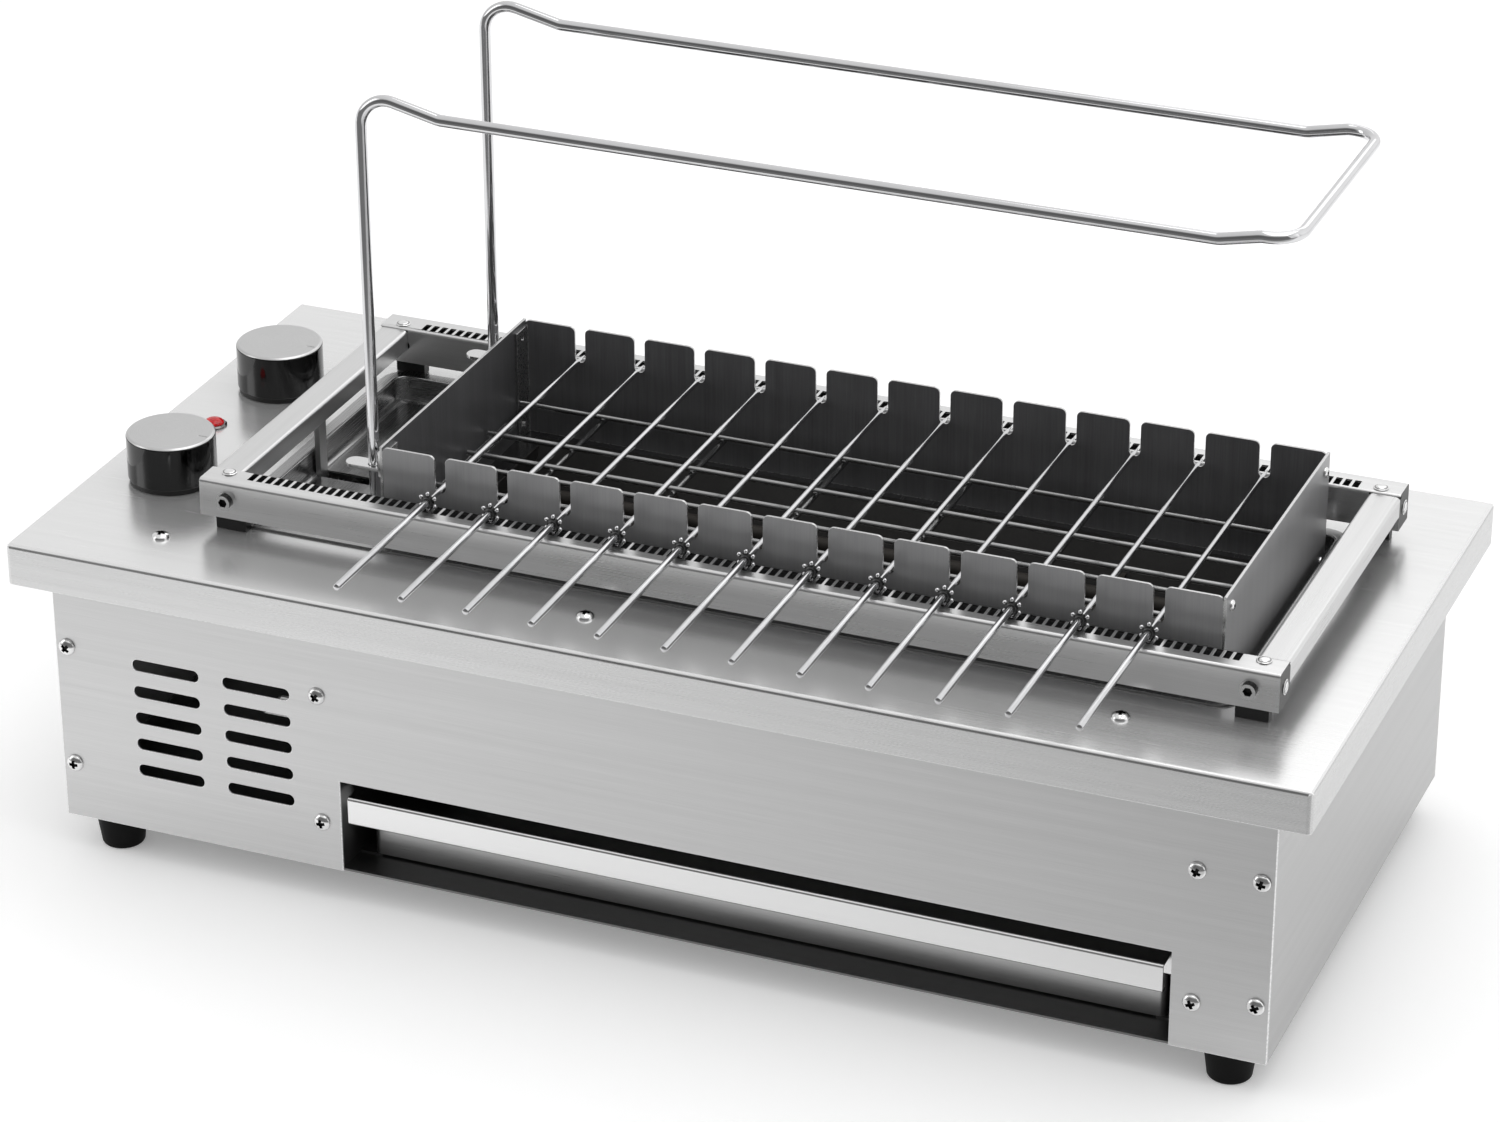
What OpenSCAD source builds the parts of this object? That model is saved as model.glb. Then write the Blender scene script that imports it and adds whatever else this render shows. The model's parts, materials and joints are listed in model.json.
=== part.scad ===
// Electric skewer grill: a sheet-metal cabinet with a sunken heater well, a notched
// skewer box, a sliding slotted frame that turns the skewers, a wire keep-warm rack,
// two knobs and a drip drawer. Millimetres, +Z up, front towards -Y.

/* [Cabinet] */
// Width of the plate between the left panel and the well, for the controls
control_strip = 77; // [74:1:100]
// Width of the plate between the well and the right panel
right_strip = 44; // [40:1:60]
// Width of the plate between the slotted frame and the front or rear panel
front_strip = 41.5; // [38:0.5:60]
// Height of the panels
cabinet_h = 160; // [150:1:190]
// Thickness of the panel sheet
sheet_t = 1.2; // [0.8:0.1:1.6]
// Inner radius of the folds
fold_in = 0.8; // [0.4:0.1:1.2]
// Width of the folded seams that the screws hold
seam_w = 13.5; // [12:0.5:14]
// Height of the upper screws over the bottom edge
screw_high = 101; // [95:1:110]
// Height of the corner screws over the bottom edge
screw_low = 32; // [25:1:40]

/* [Top plate] */
// Overhang of the top plate at each side
overhang_x = 19; // [10:0.5:25]
// Overhang of the top plate at the front and the rear
overhang_y = 12; // [8:0.5:20]
// Thickness of the top plate
plate_t = 1.5; // [1.2:0.1:2]
// Depth of the folded lip, with the plate
lip_h = 23; // [15:0.5:30]
// Radius of the lip's upright corners
lip_corner_r = 3; // [2.5:0.5:6]

/* [Feet] */
// Height of the feet
foot_h = 20; // [12:1:30]
// Diameter of a foot at the cabinet
foot_top_d = 28; // [24:1:32]
// Diameter of a foot at the table
foot_bottom_d = 23; // [18:1:24]
// Distance from a foot's middle to the side panel
foot_in_x = 23; // [18:1:40]
// Distance from a foot's middle to the front or rear panel
foot_in_y = 17; // [17:1:40]

/* [Vents] */
// Rows of vent slots
vent_rows = 5; // [3:1:6]
// Length of a vent slot
vent_len = 38.5; // [30:0.5:42]
// Height of a vent slot
vent_h = 6.6; // [4:0.2:8]
// Distance between vent rows
vent_pitch = 15.5; // [12:0.5:16]
// Height of the top vent row over the bottom edge
vent_top = 98; // [96:1:110]

/* [Skewers] */
// Number of skewers
skewer_count = 12; // [12]
// Length of the handle in front of the pin gear
handle_len = 104.5; // [80:0.5:130]
// Diameter of the handle
handle_d = 3.6; // [3:0.1:4.4]
// Diameter of the blade
blade_d = 3; // [2.4:0.1:3.6]
// Number of pins round the gear
pin_count = 6; // [6]
// Distance between the frame's slots
slot_pitch = 5; // [4.9:0.05:5.2]
// Length of a slot
slot_len = 8; // [7:0.5:9]
// Free width of a slot
slot_w = 3.3; // [3.2:0.05:3.5]

/* [Skewer box] */
// Width of the first and last tab
end_tab_w = 34; // [30:0.5:36]
// Half the free depth between the notched plates
box_half_d = 87; // [84:0.5:90]
// Rise of the box over the top plate
box_rise = 52; // [48:0.5:60]
// Thickness of the box's sheet
box_t = 1.5; // [1.2:0.1:1.8]
// Width of a notch
notch_w = 6; // [5:0.2:8]
// Radius of the tab corners
tab_r = 3; // [1.5:0.5:4]

/* [Well] */
// Depth of the well under the top plate
well_depth = 14; // [12:1:24]
// Width of the open recess left of the box
recess_w = 82; // [76:1:84]
// Width of the well's rim
rim_w = 6; // [4:0.5:6]
// Thickness of the well's sheet
well_t = 1.2; // [0.8:0.1:1.5]
// Depth of the heat reflector under the well's floor
reflector_drop = 46; // [40:1:52]
// Diameter of the heating elements
element_d = 8; // [6:0.5:9]
// Distance from the outer heating legs to the side of the well's mouth
element_side = 22; // [20:0.5:26]

/* [Slotted frame] */
// Width of a rail
rail_w = 17; // [16:0.5:18]
// Height of a rail
rail_h = 20.5; // [19:0.5:24]
// Thickness of the rail sheet
rail_t = 1.2; // [1:0.1:1.4]
// Free height under the rails
rail_lift = 9; // [7:0.5:10]
// Gap between the notched plates and the rails
rail_gap = 9; // [8:0.5:11]
// Height of the cross bars
bar_h = 11; // [9:0.5:13]
// Distance from the box's right end to the right bar
right_gap = 19; // [15:0.5:20]
// Stroke of the frame
stroke = 28; // [24:1:29]
// Module of the drive gear's teeth
tooth_module = 1.5; // [1.4:0.05:1.6]
// Number of teeth on the pinion
pinion_teeth = 12; // [12:1:14]

/* [Wire rack] */
// Diameter of the rack's rod
rod_d = 6; // [5:0.5:7]
// Top of the rack over the plate
rack_rise = 241; // [200:1:280]
// Distance from the legs to the far bar
rack_reach = 484; // [440:1:500]
// Distance from a leg to the side of the box, with the rack in the middle
rack_in = 14; // [10:0.5:20]
// Offset of the rack's middle towards the front
rack_shift = 4; // [0:0.5:6]

/* [Knobs] */
// Diameter of a knob
knob_d = 47.5; // [40:0.5:50]
// Height of a knob
knob_h = 27.5; // [20:0.5:32]
// Distance between the two knobs
knob_spacing = 125; // [110:1:140]
// Diameter of the control shafts
shaft_d = 6; // [5:0.5:7]
// Diameter of the indicator lens
lens_d = 11; // [8:0.5:12]

/* [Drawer] */
// Distance from the box's left end to the opening for the drawer
opening_in = 4; // [2:0.5:20]
// Height of the opening for the drawer
opening_h = 53; // [50:1:58]
// Gap between the handle and the opening at each side
handle_gap = 4; // [2:0.5:6]
// Gap between the drawer and the opening at each side
drawer_gap = 8; // [6:0.5:10]
// Height of the drawer
drawer_h = 42; // [38:0.5:44]
// Thickness of the drawer's sheet
drawer_t = 1.2; // [0.8:0.1:1.6]
// Height of the handle's face
grip_h = 16; // [12:0.5:20]
// Depth of the handle in front of the drawer
grip_reach = 20; // [18:0.5:30]

/* [Hidden] */
$fn = 48;
// Segments in a quarter of a round outline, and how far a cut runs past a face
arc_steps = 5;
past = 1;
// Running clearance on a radius, and the wider one round a loose rod
run_fit = 0.08;
loose_fit = 0.35;
// Clearance between pieces that pass each other
slip = 0.3;

// Heights
cab_top = foot_h + cabinet_h;
top_z = cab_top + plate_t;
base_t = sheet_t;
floor_z = top_z - well_depth;
under_floor = floor_z - well_t;
rail_z = top_z + rail_lift;
rail_top = rail_z + rail_h;
bar_top = rail_top - rail_t;
pin_circle_r = pin_count * slot_pitch / (2 * PI);
axis_z = rail_top - rail_t / 2 + pin_circle_r;
box_top = top_z + box_rise;

// Places along X
slots_per_notch = 7;
notch_pitch = slots_per_notch * slot_pitch;
box_w = 2 * end_tab_w + (skewer_count - 1) * notch_pitch;
end_room = 6;
cabinet_w = control_strip + recess_w + box_w + end_room + right_strip;
plate_w = cabinet_w + 2 * overhang_x;
box_x0 = -cabinet_w / 2 + control_strip + recess_w;
box_x1 = box_x0 + box_w;
first_notch_x = box_x0 + end_tab_w;
well_x0 = box_x0 - recess_w;
well_x1 = box_x1 + end_room;
bar_lap = 7;
bar_w = rail_w - slip;
bar_left_in = well_x0 + bar_lap;
bar_right_in = box_x1 + right_gap;
frame_x0 = bar_left_in - bar_w;
frame_x1 = bar_right_in + bar_w;

// Places along Y, from the middle line of the plate
rail_in = box_half_d + box_t + rail_gap;
rail_out = rail_in + rail_w;
cabinet_d = 2 * (rail_out + front_strip);
plate_d = cabinet_d + 2 * overhang_y;
slot_in = 1.5;
gear_y = rail_in + slot_in + slot_len / 2;
handle_tip_y = gear_y + handle_len;
mid_y = (handle_tip_y - plate_d / 2) / 2;

// Screws
screw_d = 4;
screw_head_d = 9.6;
screw_head_h = 3;
screw_len = 8;
screw_hole_r = screw_d / 2 + run_fit;
seam_screw = seam_w / 2;
inner_screw_low = 27;
inner_screw_in = 11;
screw_x = cabinet_w / 2 - seam_screw;
shelf_w = 32;
top_screw_in = 25.5;
top_screw_y = cabinet_d / 2 - top_screw_in;
top_screw_shares = [-0.797, -0.111, 0.694];

// Drawer
opening_x0 = box_x0 + opening_in;
opening_x1 = box_x1;
opening_top = foot_h + opening_h;
drawer_x0 = opening_x0 + drawer_gap;
drawer_x1 = opening_x1 - drawer_gap;
handle_x0 = opening_x0 + handle_gap;
handle_x1 = opening_x1 - handle_gap;
drawer_z = foot_h + base_t + sheet_t;
drawer_top = drawer_z + drawer_h;
drawer_front_y = -cabinet_d / 2 + grip_reach;
drawer_rear_room = 20;
drawer_corner_r = 4;
drawer_rear_y = cabinet_d / 2 - drawer_rear_room;
partition_off = 15;
part_x0 = opening_x0 - partition_off;
part_x1 = opening_x1 + partition_off;

// Well, reflector and heating elements
well_r = 8;
tray_r = 4;
mouth_in = 15;
mouth_y = box_half_d - mouth_in;
mouth_x0 = box_x0 + mouth_in;
mouth_x1 = box_x1 - mouth_in;
reflector_flange = 8;
reflector_slope = 27;
reflector_slot = mouth_y - reflector_slope;
reflector_z = floor_z - reflector_drop;
reflector_skin = 1.5 * well_t;
element_drop = 18;
element_z = floor_z - element_drop;
element_legs = 6;
element_pitch = 2 * (mouth_y - element_side) / (element_legs - 1);
element_x1 = mouth_x1 - element_pitch;
element_out = 5;
element_x0 = part_x0 - element_out;

// Frame parts
end_in = 15;
glide_bolt_z = rail_z + rail_h / 2;
glide_bolt_d = 5;
glide_len = 22;
glide_in = 5;
rivet_in = 5;
rivet_d = 4;
slot_margin = 7.5;
slots_before = floor((first_notch_x - bar_left_in - slot_margin) / slot_pitch);
slots_after = floor((bar_right_in - first_notch_x - slot_margin) / slot_pitch);

// Drive
arm_t = 3;
arm_w = 8;
wall_room = 1;
arm_x0 = well_x0 + well_t + wall_room;
drive_h = 6;
drive_drop = 4;
drive_z1 = under_floor - drive_drop;
drive_z0 = drive_z1 - drive_h;
pinion_r = tooth_module * pinion_teeth / 2;
pinion_x = arm_x0 + arm_t + stroke / 2 + pinion_r;
dedendum = 1.25 * tooth_module;
addendum = tooth_module;
pinion_y = dedendum + pinion_r;
tooth_pitch = PI * tooth_module;
backlash = 0.2;
pressure_angle = 20;

// Rack
rack_leg_off = 9;
rack_leg_x = box_x0 - rack_leg_off;
rack_half_d = box_half_d - rack_in;
eyelet_z = axis_z + slip;

// Knobs
knob_in = 43;
knob_x = -plate_w / 2 + knob_in;
knob_mid_y = -2.5;
knob_gap = 0.6;
knob_ring_h = 2.4;
knob_wall = 1.6;
control_w = 34;
control_h = 22;
lamp_in = 32;
lamp_x = -plate_w / 2 + lamp_in;
lamp_y = 2;

// Vents, feet and cable gland
side_room = 45;
vent_gap = 14;
vent_x0 = -cabinet_w / 2 + side_room;
foot_x = cabinet_w / 2 - foot_in_x;
foot_y = cabinet_d / 2 - foot_in_y;
stud_d = 6;
stud_h = 6;
gland_d = 18;
gland_x = -cabinet_w / 2 + side_room / 3 + gland_d / 2;
gland_z = foot_h + screw_low;
gland_thread_d = 12;
cord_hole_d = 8.4;

// Grate
grate_d = 3.2;
grate_z = top_z + rail_lift;
grate_ledge = 8;
grate_shares = [-0.87, -0.39, -0.09, 0.09, 0.39, 0.87];
grate_low = grate_z - 2 * grate_d - slip;

// Box screws and the wire rack's bends
box_screw_d = 3;
box_screw_head_d = 6;
box_screw_drop = 8;
eyelet_t = 2;
socket_h = 9;
quarter = 90;
hump_angle = 13;
kink_angle = 12;
bend_r = 2.5 * rod_d;
hump_run = 4 * rod_d;
kink_run = 3 * rod_d;

// Frame rivets, gear motor and the pinion's tooth radii
rivet_y = rail_in + rail_t + rivet_d;
bar_tail = 8;
shaft_in = 12;
bracket_t = 2;
bracket_gap = 2;
motor_top = drive_z0 - bracket_gap - bracket_t;
gearbox_h = 24;
motor_d = 36;
motor_h = 44;
base_r = pinion_r * cos(pressure_angle);
tip_r = pinion_r + addendum;
root_r = pinion_r - dedendum;
flank_steps = 4;

// Knob shafts and lamp
bush_d = shaft_d + 4;
front_knob_y = knob_mid_y - knob_spacing / 2;
rear_knob_y = knob_mid_y + knob_spacing / 2;
lamp_wall = 1.5;
lamp_barrel_d = lens_d - 1;
bezel_h = 1.5;

function arc(cx, cy, r, a0, a1) =
    [for (i = [0 : arc_steps])
        let (a = a0 + (a1 - a0) * i / arc_steps)
        [cx + r * cos(a), cy + r * sin(a)]];

function round_rect(x0, y0, x1, y1, r) = concat(
    arc(x1 - r, y1 - r, r, 0, 90), arc(x0 + r, y1 - r, r, 90, 180),
    arc(x0 + r, y0 + r, r, 180, 270), arc(x1 - r, y0 + r, r, 270, 360));

// Half the inner width of the reflector at a height
function reflector_half(z) =
    reflector_slot - reflector_skin + (mouth_y - slip - reflector_slot)
        * (z - reflector_z) / (floor_z + well_t - reflector_z);

module grill() translate([0, mid_y, 0]) children();

module block(low, high) translate(low) cube(high - low);

module mirror_copy(v) {
    children();
    mirror(v) children();
}

// A flat outline in Y and Z, drawn out along X
module along_x(x0, x1)
    translate([x0, 0, 0]) rotate([90, 0, 90]) linear_extrude(x1 - x0) children();

// A flat outline in X and Z, drawn out along Y
module along_y(y0, y1)
    translate([0, y1, 0]) rotate([90, 0, 0]) linear_extrude(y1 - y0) children();

// Outline of a folded channel between two places, open below, with its folds at the top
function channel(a0, a1, low, high, t) =
    let (r = fold_in + t)
    concat([[a1, low]], arc(a1 - r, high - r, r, 0, 90),
        arc(a0 + r, high - r, r, 90, 180), [[a0, low]], [[a0 + t, low]],
        arc(a0 + r, high - r, fold_in, 180, 90), arc(a1 - r, high - r, fold_in, 90, 0),
        [[a1 - t, low]]);

// Outline of a block with its upper edges rounded
function arched(a0, a1, low, high, r) = concat(
    [[a1, low]], arc(a1 - r, high - r, r, 0, 90), arc(a0 + r, high - r, r, 90, 180), [[a0, low]]);

// A block with rounded upper edges and rounded upright corners
module rounded_lid(half_x, half_y, low, high, edge_r, corner_r) intersection() {
    along_x(-half_x, half_x) polygon(arched(-half_y, half_y, low, high, edge_r));
    along_y(-half_y, half_y) polygon(arched(-half_x, half_x, low, high, edge_r));
    translate([0, 0, low]) linear_extrude(high - low)
        polygon(round_rect(-half_x, -half_y, half_x, half_y, corner_r));
}

module pan_head(d, h) {
    dome = [for (i = [0 : arc_steps]) let (a = 90 * i / arc_steps)
        [d / 2 * sin(a), h * cos(a)]];
    recess_w = d / 8;
    recess_l = d / 2;
    recess_h = h / 2;
    difference() {
        rotate_extrude() polygon(concat([[0, 0]], dome));
        for (turn = [0, 90]) rotate([0, 0, turn])
            block([-recess_l / 2, -recess_w / 2, h - recess_h],
                [recess_l / 2, recess_w / 2, h + past]);
    }
}

// A cross-head screw at the origin, its head on +Z and its shank below
module screw(d, head_d, head_h, len) {
    pan_head(head_d, head_h);
    translate([0, 0, -len]) cylinder(h = len, d = d);
}

// Screw places on the front and rear panels: X and height
function panel_screw_places() = [
    [-screw_x, screw_high], [-screw_x, screw_low],
    [screw_x, screw_high], [screw_x, screw_low],
    [opening_x0 - inner_screw_in, screw_high], [opening_x0 - inner_screw_in, inner_screw_low],
    [opening_x1 + inner_screw_in, screw_high], [opening_x1 + inner_screw_in, inner_screw_low]];

module hole_y(x, y, z, r) translate([x, y, z]) rotate([90, 0, 0])
    cylinder(h = 4 * past + 2 * sheet_t, r = r, center = true);

module panel_holes(y)
    for (p = panel_screw_places()) hole_y(p[0], y, foot_h + p[1], screw_hole_r);

// Cabinet

module vent_slots(y)
    for (column = [0, 1], row = [0 : vent_rows - 1])
        along_y(y - past, y + sheet_t + past)
            polygon(round_rect(
                vent_x0 + column * (vent_len + vent_gap),
                foot_h + vent_top - row * vent_pitch - vent_h / 2,
                vent_x0 + column * (vent_len + vent_gap) + vent_len,
                foot_h + vent_top - row * vent_pitch + vent_h / 2,
                vent_h / 2 - slip));

module base_plate() color("gray") grill() {
    inner_x = cabinet_w / 2 - sheet_t;
    inner_y = cabinet_d / 2 - sheet_t;
    louvre_l = vent_len;
    difference() {
        union() {
            block([-inner_x, -inner_y, foot_h], [inner_x, inner_y, foot_h + base_t]);
            mirror_copy([1, 0, 0])
                block([inner_x - sheet_t, -inner_y + seam_w, foot_h],
                    [inner_x, inner_y - seam_w, foot_h + seam_w]);
        }
        mirror_copy([1, 0, 0]) mirror_copy([0, 1, 0])
            translate([foot_x, foot_y, foot_h - past])
                cylinder(h = base_t + 2 * past, r = stud_d / 2 + run_fit);
        for (row = [0 : vent_rows - 1])
            block([vent_x0, (row - (vent_rows - 1) / 2) * vent_pitch - vent_h / 2,
                    foot_h - past],
                [vent_x0 + louvre_l, (row - (vent_rows - 1) / 2) * vent_pitch + vent_h / 2,
                    foot_h + base_t + past]);
    }
}

module feet() color("black") grill() {
    foot_edge = 2;
    outline = concat([[0, 0]],
        arc(foot_bottom_d / 2 - foot_edge, foot_edge, foot_edge, 270, 360),
        [[foot_top_d / 2, foot_h], [0, foot_h]]);
    mirror_copy([1, 0, 0]) mirror_copy([0, 1, 0]) translate([foot_x, foot_y, 0]) {
        rotate_extrude() polygon(outline);
        translate([0, 0, foot_h]) cylinder(h = stud_h, d = stud_d);
    }
}

module panel_shelf() {
    shelf_x = cabinet_w / 2 - sheet_t - seam_w - past;
    difference() {
        block([-shelf_x, -cabinet_d / 2, cab_top - sheet_t],
            [shelf_x, -cabinet_d / 2 + shelf_w, cab_top]);
        for (s = top_screw_shares) translate([s * plate_w / 2, -top_screw_y, cab_top - sheet_t])
            cylinder(h = 4 * past, r = screw_hole_r, center = true);
    }
}

module front_panel() color("lightgray") grill() {
    front = -cabinet_d / 2;
    difference() {
        block([-cabinet_w / 2, front, foot_h], [cabinet_w / 2, front + sheet_t, cab_top]);
        block([opening_x0, front - past, foot_h - past],
            [opening_x1, front + sheet_t + past, opening_top]);
        vent_slots(front);
        panel_holes(front + sheet_t / 2);
    }
    panel_shelf();
}

module rear_panel() color("lightgray") grill() {
    rear = cabinet_d / 2;
    difference() {
        block([-cabinet_w / 2, rear - sheet_t, foot_h], [cabinet_w / 2, rear, cab_top]);
        vent_slots(rear - sheet_t);
        panel_holes(rear - sheet_t / 2);
        hole_y(gland_x, rear - sheet_t / 2, gland_z, gland_thread_d / 2 + run_fit);
    }
    mirror([0, 1, 0]) panel_shelf();
}

module side_panel() {
    side = cabinet_w / 2;
    reach = cabinet_d / 2 - sheet_t;
    difference() {
        union() {
            block([side - sheet_t, -reach, foot_h], [side, reach, cab_top]);
            mirror_copy([0, 1, 0])
                block([side - sheet_t - seam_w, -reach, foot_h + base_t],
                    [side, -reach + sheet_t, cab_top]);
        }
        for (y = [-reach + sheet_t / 2, reach - sheet_t / 2], z = [screw_high, screw_low])
            hole_y(screw_x, y, foot_h + z, screw_hole_r);
    }
}

module right_side_panel() color("silver") grill() side_panel();

module left_side_panel() color("silver") grill() mirror([1, 0, 0]) side_panel();

module panel_screws() color("whitesmoke") grill()
    mirror_copy([0, 1, 0])
        for (p = panel_screw_places())
            translate([p[0], -cabinet_d / 2, foot_h + p[1]]) rotate([90, 0, 0])
                screw(screw_d, screw_head_d, screw_head_h, screw_len);

// A wall beside the drawer, its front seam turned towards the drawer
module partition(x, turn, top) {
    reach = cabinet_d / 2 - sheet_t;
    seam_z = opening_top + seam_w / 2;
    difference() {
        union() {
            block([min(x, x + turn * sheet_t), -reach, foot_h + base_t],
                [max(x, x + turn * sheet_t), reach, top]);
            mirror_copy([0, 1, 0])
                block([min(x, x + turn * seam_w), -reach, seam_z],
                    [max(x, x + turn * seam_w), -reach + sheet_t, top]);
        }
        for (y = [-reach + sheet_t / 2, reach - sheet_t / 2])
            hole_y(x + turn * (partition_off - inner_screw_in), y, foot_h + screw_high,
                screw_hole_r);
    }
}

module left_partition() color("darkgray") grill() difference() {
    partition(part_x0, 1, under_floor);
    element_holes(part_x0);
}

module right_partition() color("darkgray") grill()
    partition(part_x1, -1, cab_top - sheet_t);

module top_plate() color("gainsboro") grill() {
    half_w = plate_w / 2;
    half_d = plate_d / 2;
    low = top_z - lip_h;
    difference() {
        rounded_lid(half_w, half_d, low, top_z, fold_in + plate_t, lip_corner_r);
        rounded_lid(half_w - plate_t, half_d - plate_t, low - past, top_z - plate_t,
            fold_in, lip_corner_r - plate_t);
        translate([0, 0, low]) linear_extrude(lip_h + past)
            polygon(round_rect(well_x0, -rail_in, well_x1, rail_in, well_r));
        for (y = [-1, 1], s = top_screw_shares)
            translate([s * half_w, y * top_screw_y, top_z]) cylinder(h = 4 * past + plate_t,
                r = screw_hole_r, center = true);
        for (y = [-1, 1])
            translate([knob_x, knob_mid_y + y * knob_spacing / 2, top_z])
                cylinder(h = 4 * past + plate_t, r = bush_d / 2 + run_fit, center = true);
        translate([lamp_x, lamp_y, top_z])
            cylinder(h = 4 * past + plate_t, r = lamp_barrel_d / 2 + run_fit, center = true);
    }
}

module top_screws() color("whitesmoke") grill()
    for (y = [-1, 1], s = top_screw_shares)
        translate([s * plate_w / 2, y * top_screw_y, top_z])
            screw(screw_d, screw_head_d, screw_head_h, screw_len);

// Well, reflector, elements and grate

// A tray's solid shape: rounded lower edges and rounded upright corners
module tray(inset, low, high, r) {
    half_x = (well_x1 - well_x0) / 2 - inset;
    translate([(well_x0 + well_x1) / 2, 0, low + high]) mirror([0, 0, 1])
        rounded_lid(half_x, rail_in - inset, low, high, r, well_r - inset);
}

// The bead round the well's mouth, flush with the sheet's outer face
module rolled_rim() {
    bead_r = 0.75 * well_t;
    x0 = well_x0 + bead_r;
    x1 = well_x1 - bead_r;
    y = rail_in - bead_r;
    z = top_z + well_t / 2;
    r = well_r - bead_r;
    mirror_copy([0, 1, 0]) {
        translate([x0 + r, y, z]) rotate([0, quarter, 0])
            cylinder(h = x1 - x0 - 2 * r, r = bead_r);
        for (side = [0, 1])
            translate([side == 0 ? x0 + r : x1 - r, y - r, z])
                rotate([0, 0, side == 0 ? quarter : 0])
                    rotate_extrude(angle = quarter) translate([r, 0]) circle(r = bead_r);
    }
    for (x = [x0, x1])
        translate([x, y - r, z]) rotate([quarter, 0, 0])
            cylinder(h = 2 * (y - r), r = bead_r);
}

module well_liner() color("darkgray") grill() {
    difference() {
        union() {
            tray(0, under_floor, top_z, tray_r + well_t);
            translate([0, 0, top_z]) linear_extrude(well_t)
                polygon(round_rect(well_x0 - rim_w, -rail_in - rim_w,
                    well_x1 + rim_w, rail_in + rim_w, well_r + rim_w));
        }
        tray(well_t, floor_z, top_z + well_t + past, tray_r);
        block([mouth_x0, -mouth_y, under_floor - past], [mouth_x1, mouth_y, floor_z + past]);
        block([arm_x0 - slip, -arm_w - slip, under_floor - past],
            [arm_x0 + arm_t + stroke + slip, slip, top_z]);
    }
    rolled_rim();
}

module element_holes(x)
    for (leg = [0 : element_legs - 1])
        translate([x, (leg - (element_legs - 1) / 2) * element_pitch, element_z])
            rotate([0, 90, 0])
                cylinder(h = 8 * past, r = element_d / 2 + slip, center = true);

module heat_reflector() color("dimgray") grill() {
    skin = reflector_skin;
    seam = skin / 2;
    outer = mouth_y - slip;
    wall = [
        [outer + reflector_flange, floor_z], [outer + reflector_flange, floor_z + well_t],
        [outer - skin, floor_z + well_t], [reflector_slot - skin, reflector_z],
        [reflector_slot, reflector_z], [outer, floor_z - well_t], [outer, floor_z]];
    mirror_copy([0, 1, 0]) along_x(mouth_x0 + slip, mouth_x1 - slip) polygon(wall);
    difference() {
        for (x = [mouth_x0 + slip, mouth_x1 - slip - well_t])
            along_x(x, x + well_t) polygon([
                [seam - outer, floor_z + well_t], [outer - seam, floor_z + well_t],
                [reflector_slot - seam, reflector_z], [seam - reflector_slot, reflector_z]]);
        element_holes(mouth_x0);
    }
}

module heating_elements() color("slategray") grill() {
    leg_len = element_x1 - element_x0;
    pin_d = element_d / 3;
    pin_len = 2 * element_d;
    for (pair = [0 : element_legs / 2 - 1]) {
        low = (2 * pair - (element_legs - 1) / 2) * element_pitch;
        for (y = [low, low + element_pitch])
            translate([element_x0, y, element_z]) rotate([0, 90, 0]) {
                cylinder(h = leg_len, d = element_d);
                translate([0, 0, -pin_len]) cylinder(h = pin_len, d = pin_d);
            }
        translate([element_x1, low + element_pitch / 2, element_z])
            rotate([0, 0, -90]) rotate_extrude(angle = 180)
                translate([element_pitch / 2, 0]) circle(d = element_d);
    }
    for (s = [0.2, 0.8]) element_comb(mouth_x0 + s * (mouth_x1 - mouth_x0));
}

// A strip across the reflector that carries the element legs
module element_comb(x) {
    low = element_z - element_d;
    high = element_z + element_d;
    difference() {
        along_x(x - well_t, x + well_t) polygon([
            [slip - reflector_half(low), low], [reflector_half(low) - slip, low],
            [reflector_half(high) - slip, high], [slip - reflector_half(high), high]]);
        for (leg = [0 : element_legs - 1])
            translate([x, (leg - (element_legs - 1) / 2) * element_pitch, element_z])
                rotate([0, 90, 0])
                    cylinder(h = 8 * past, r = element_d / 2 + run_fit, center = true);
    }
}

// Long wires that lie on cross wires, between the folded seams of the notched plates
module grate() color("lightgray") grill() {
    x0 = box_x0 + 2 * box_t + slip;
    x1 = box_x1 - 2 * box_t - slip;
    reach = box_half_d - grate_d;
    for (s = grate_shares)
        translate([x0, s * box_half_d, grate_z - grate_d / 2]) rotate([0, 90, 0])
            cylinder(h = x1 - x0, d = grate_d);
    for (x = concat([x0 + grate_d], [for (i = [1 : 2 : skewer_count - 2])
            first_notch_x + (i + 0.5) * notch_pitch - notch_pitch], [x1 - grate_d]))
        translate([x, reach, grate_z - 1.5 * grate_d - slip]) rotate([90, 0, 0])
            cylinder(h = 2 * reach, d = grate_d);
}

// Skewer box

// The outline of a notched plate, in X and Z
function notched_outline() =
    let (bottom = axis_z - blade_d / 2 - slip + notch_w / 2, r = notch_w / 2)
    concat(
        [[box_x0 + box_t, floor_z], [box_x1 - box_t, floor_z]],
        [for (i = [skewer_count : -1 : 0])
            let (x1 = i == skewer_count ? box_x1 - box_t
                    : first_notch_x + i * notch_pitch - r,
                x0 = i == 0 ? box_x0 + box_t
                    : first_notch_x + (i - 1) * notch_pitch + r)
            each concat(
                arc(x1 - tab_r, box_top - tab_r, tab_r, 0, 90),
                arc(x0 + tab_r, box_top - tab_r, tab_r, 90, 180),
                i == 0 ? [] : concat(
                    arc(x0 - r, bottom, r, 0, -90), arc(x0 - r, bottom, r, -90, -180)))]);

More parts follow.
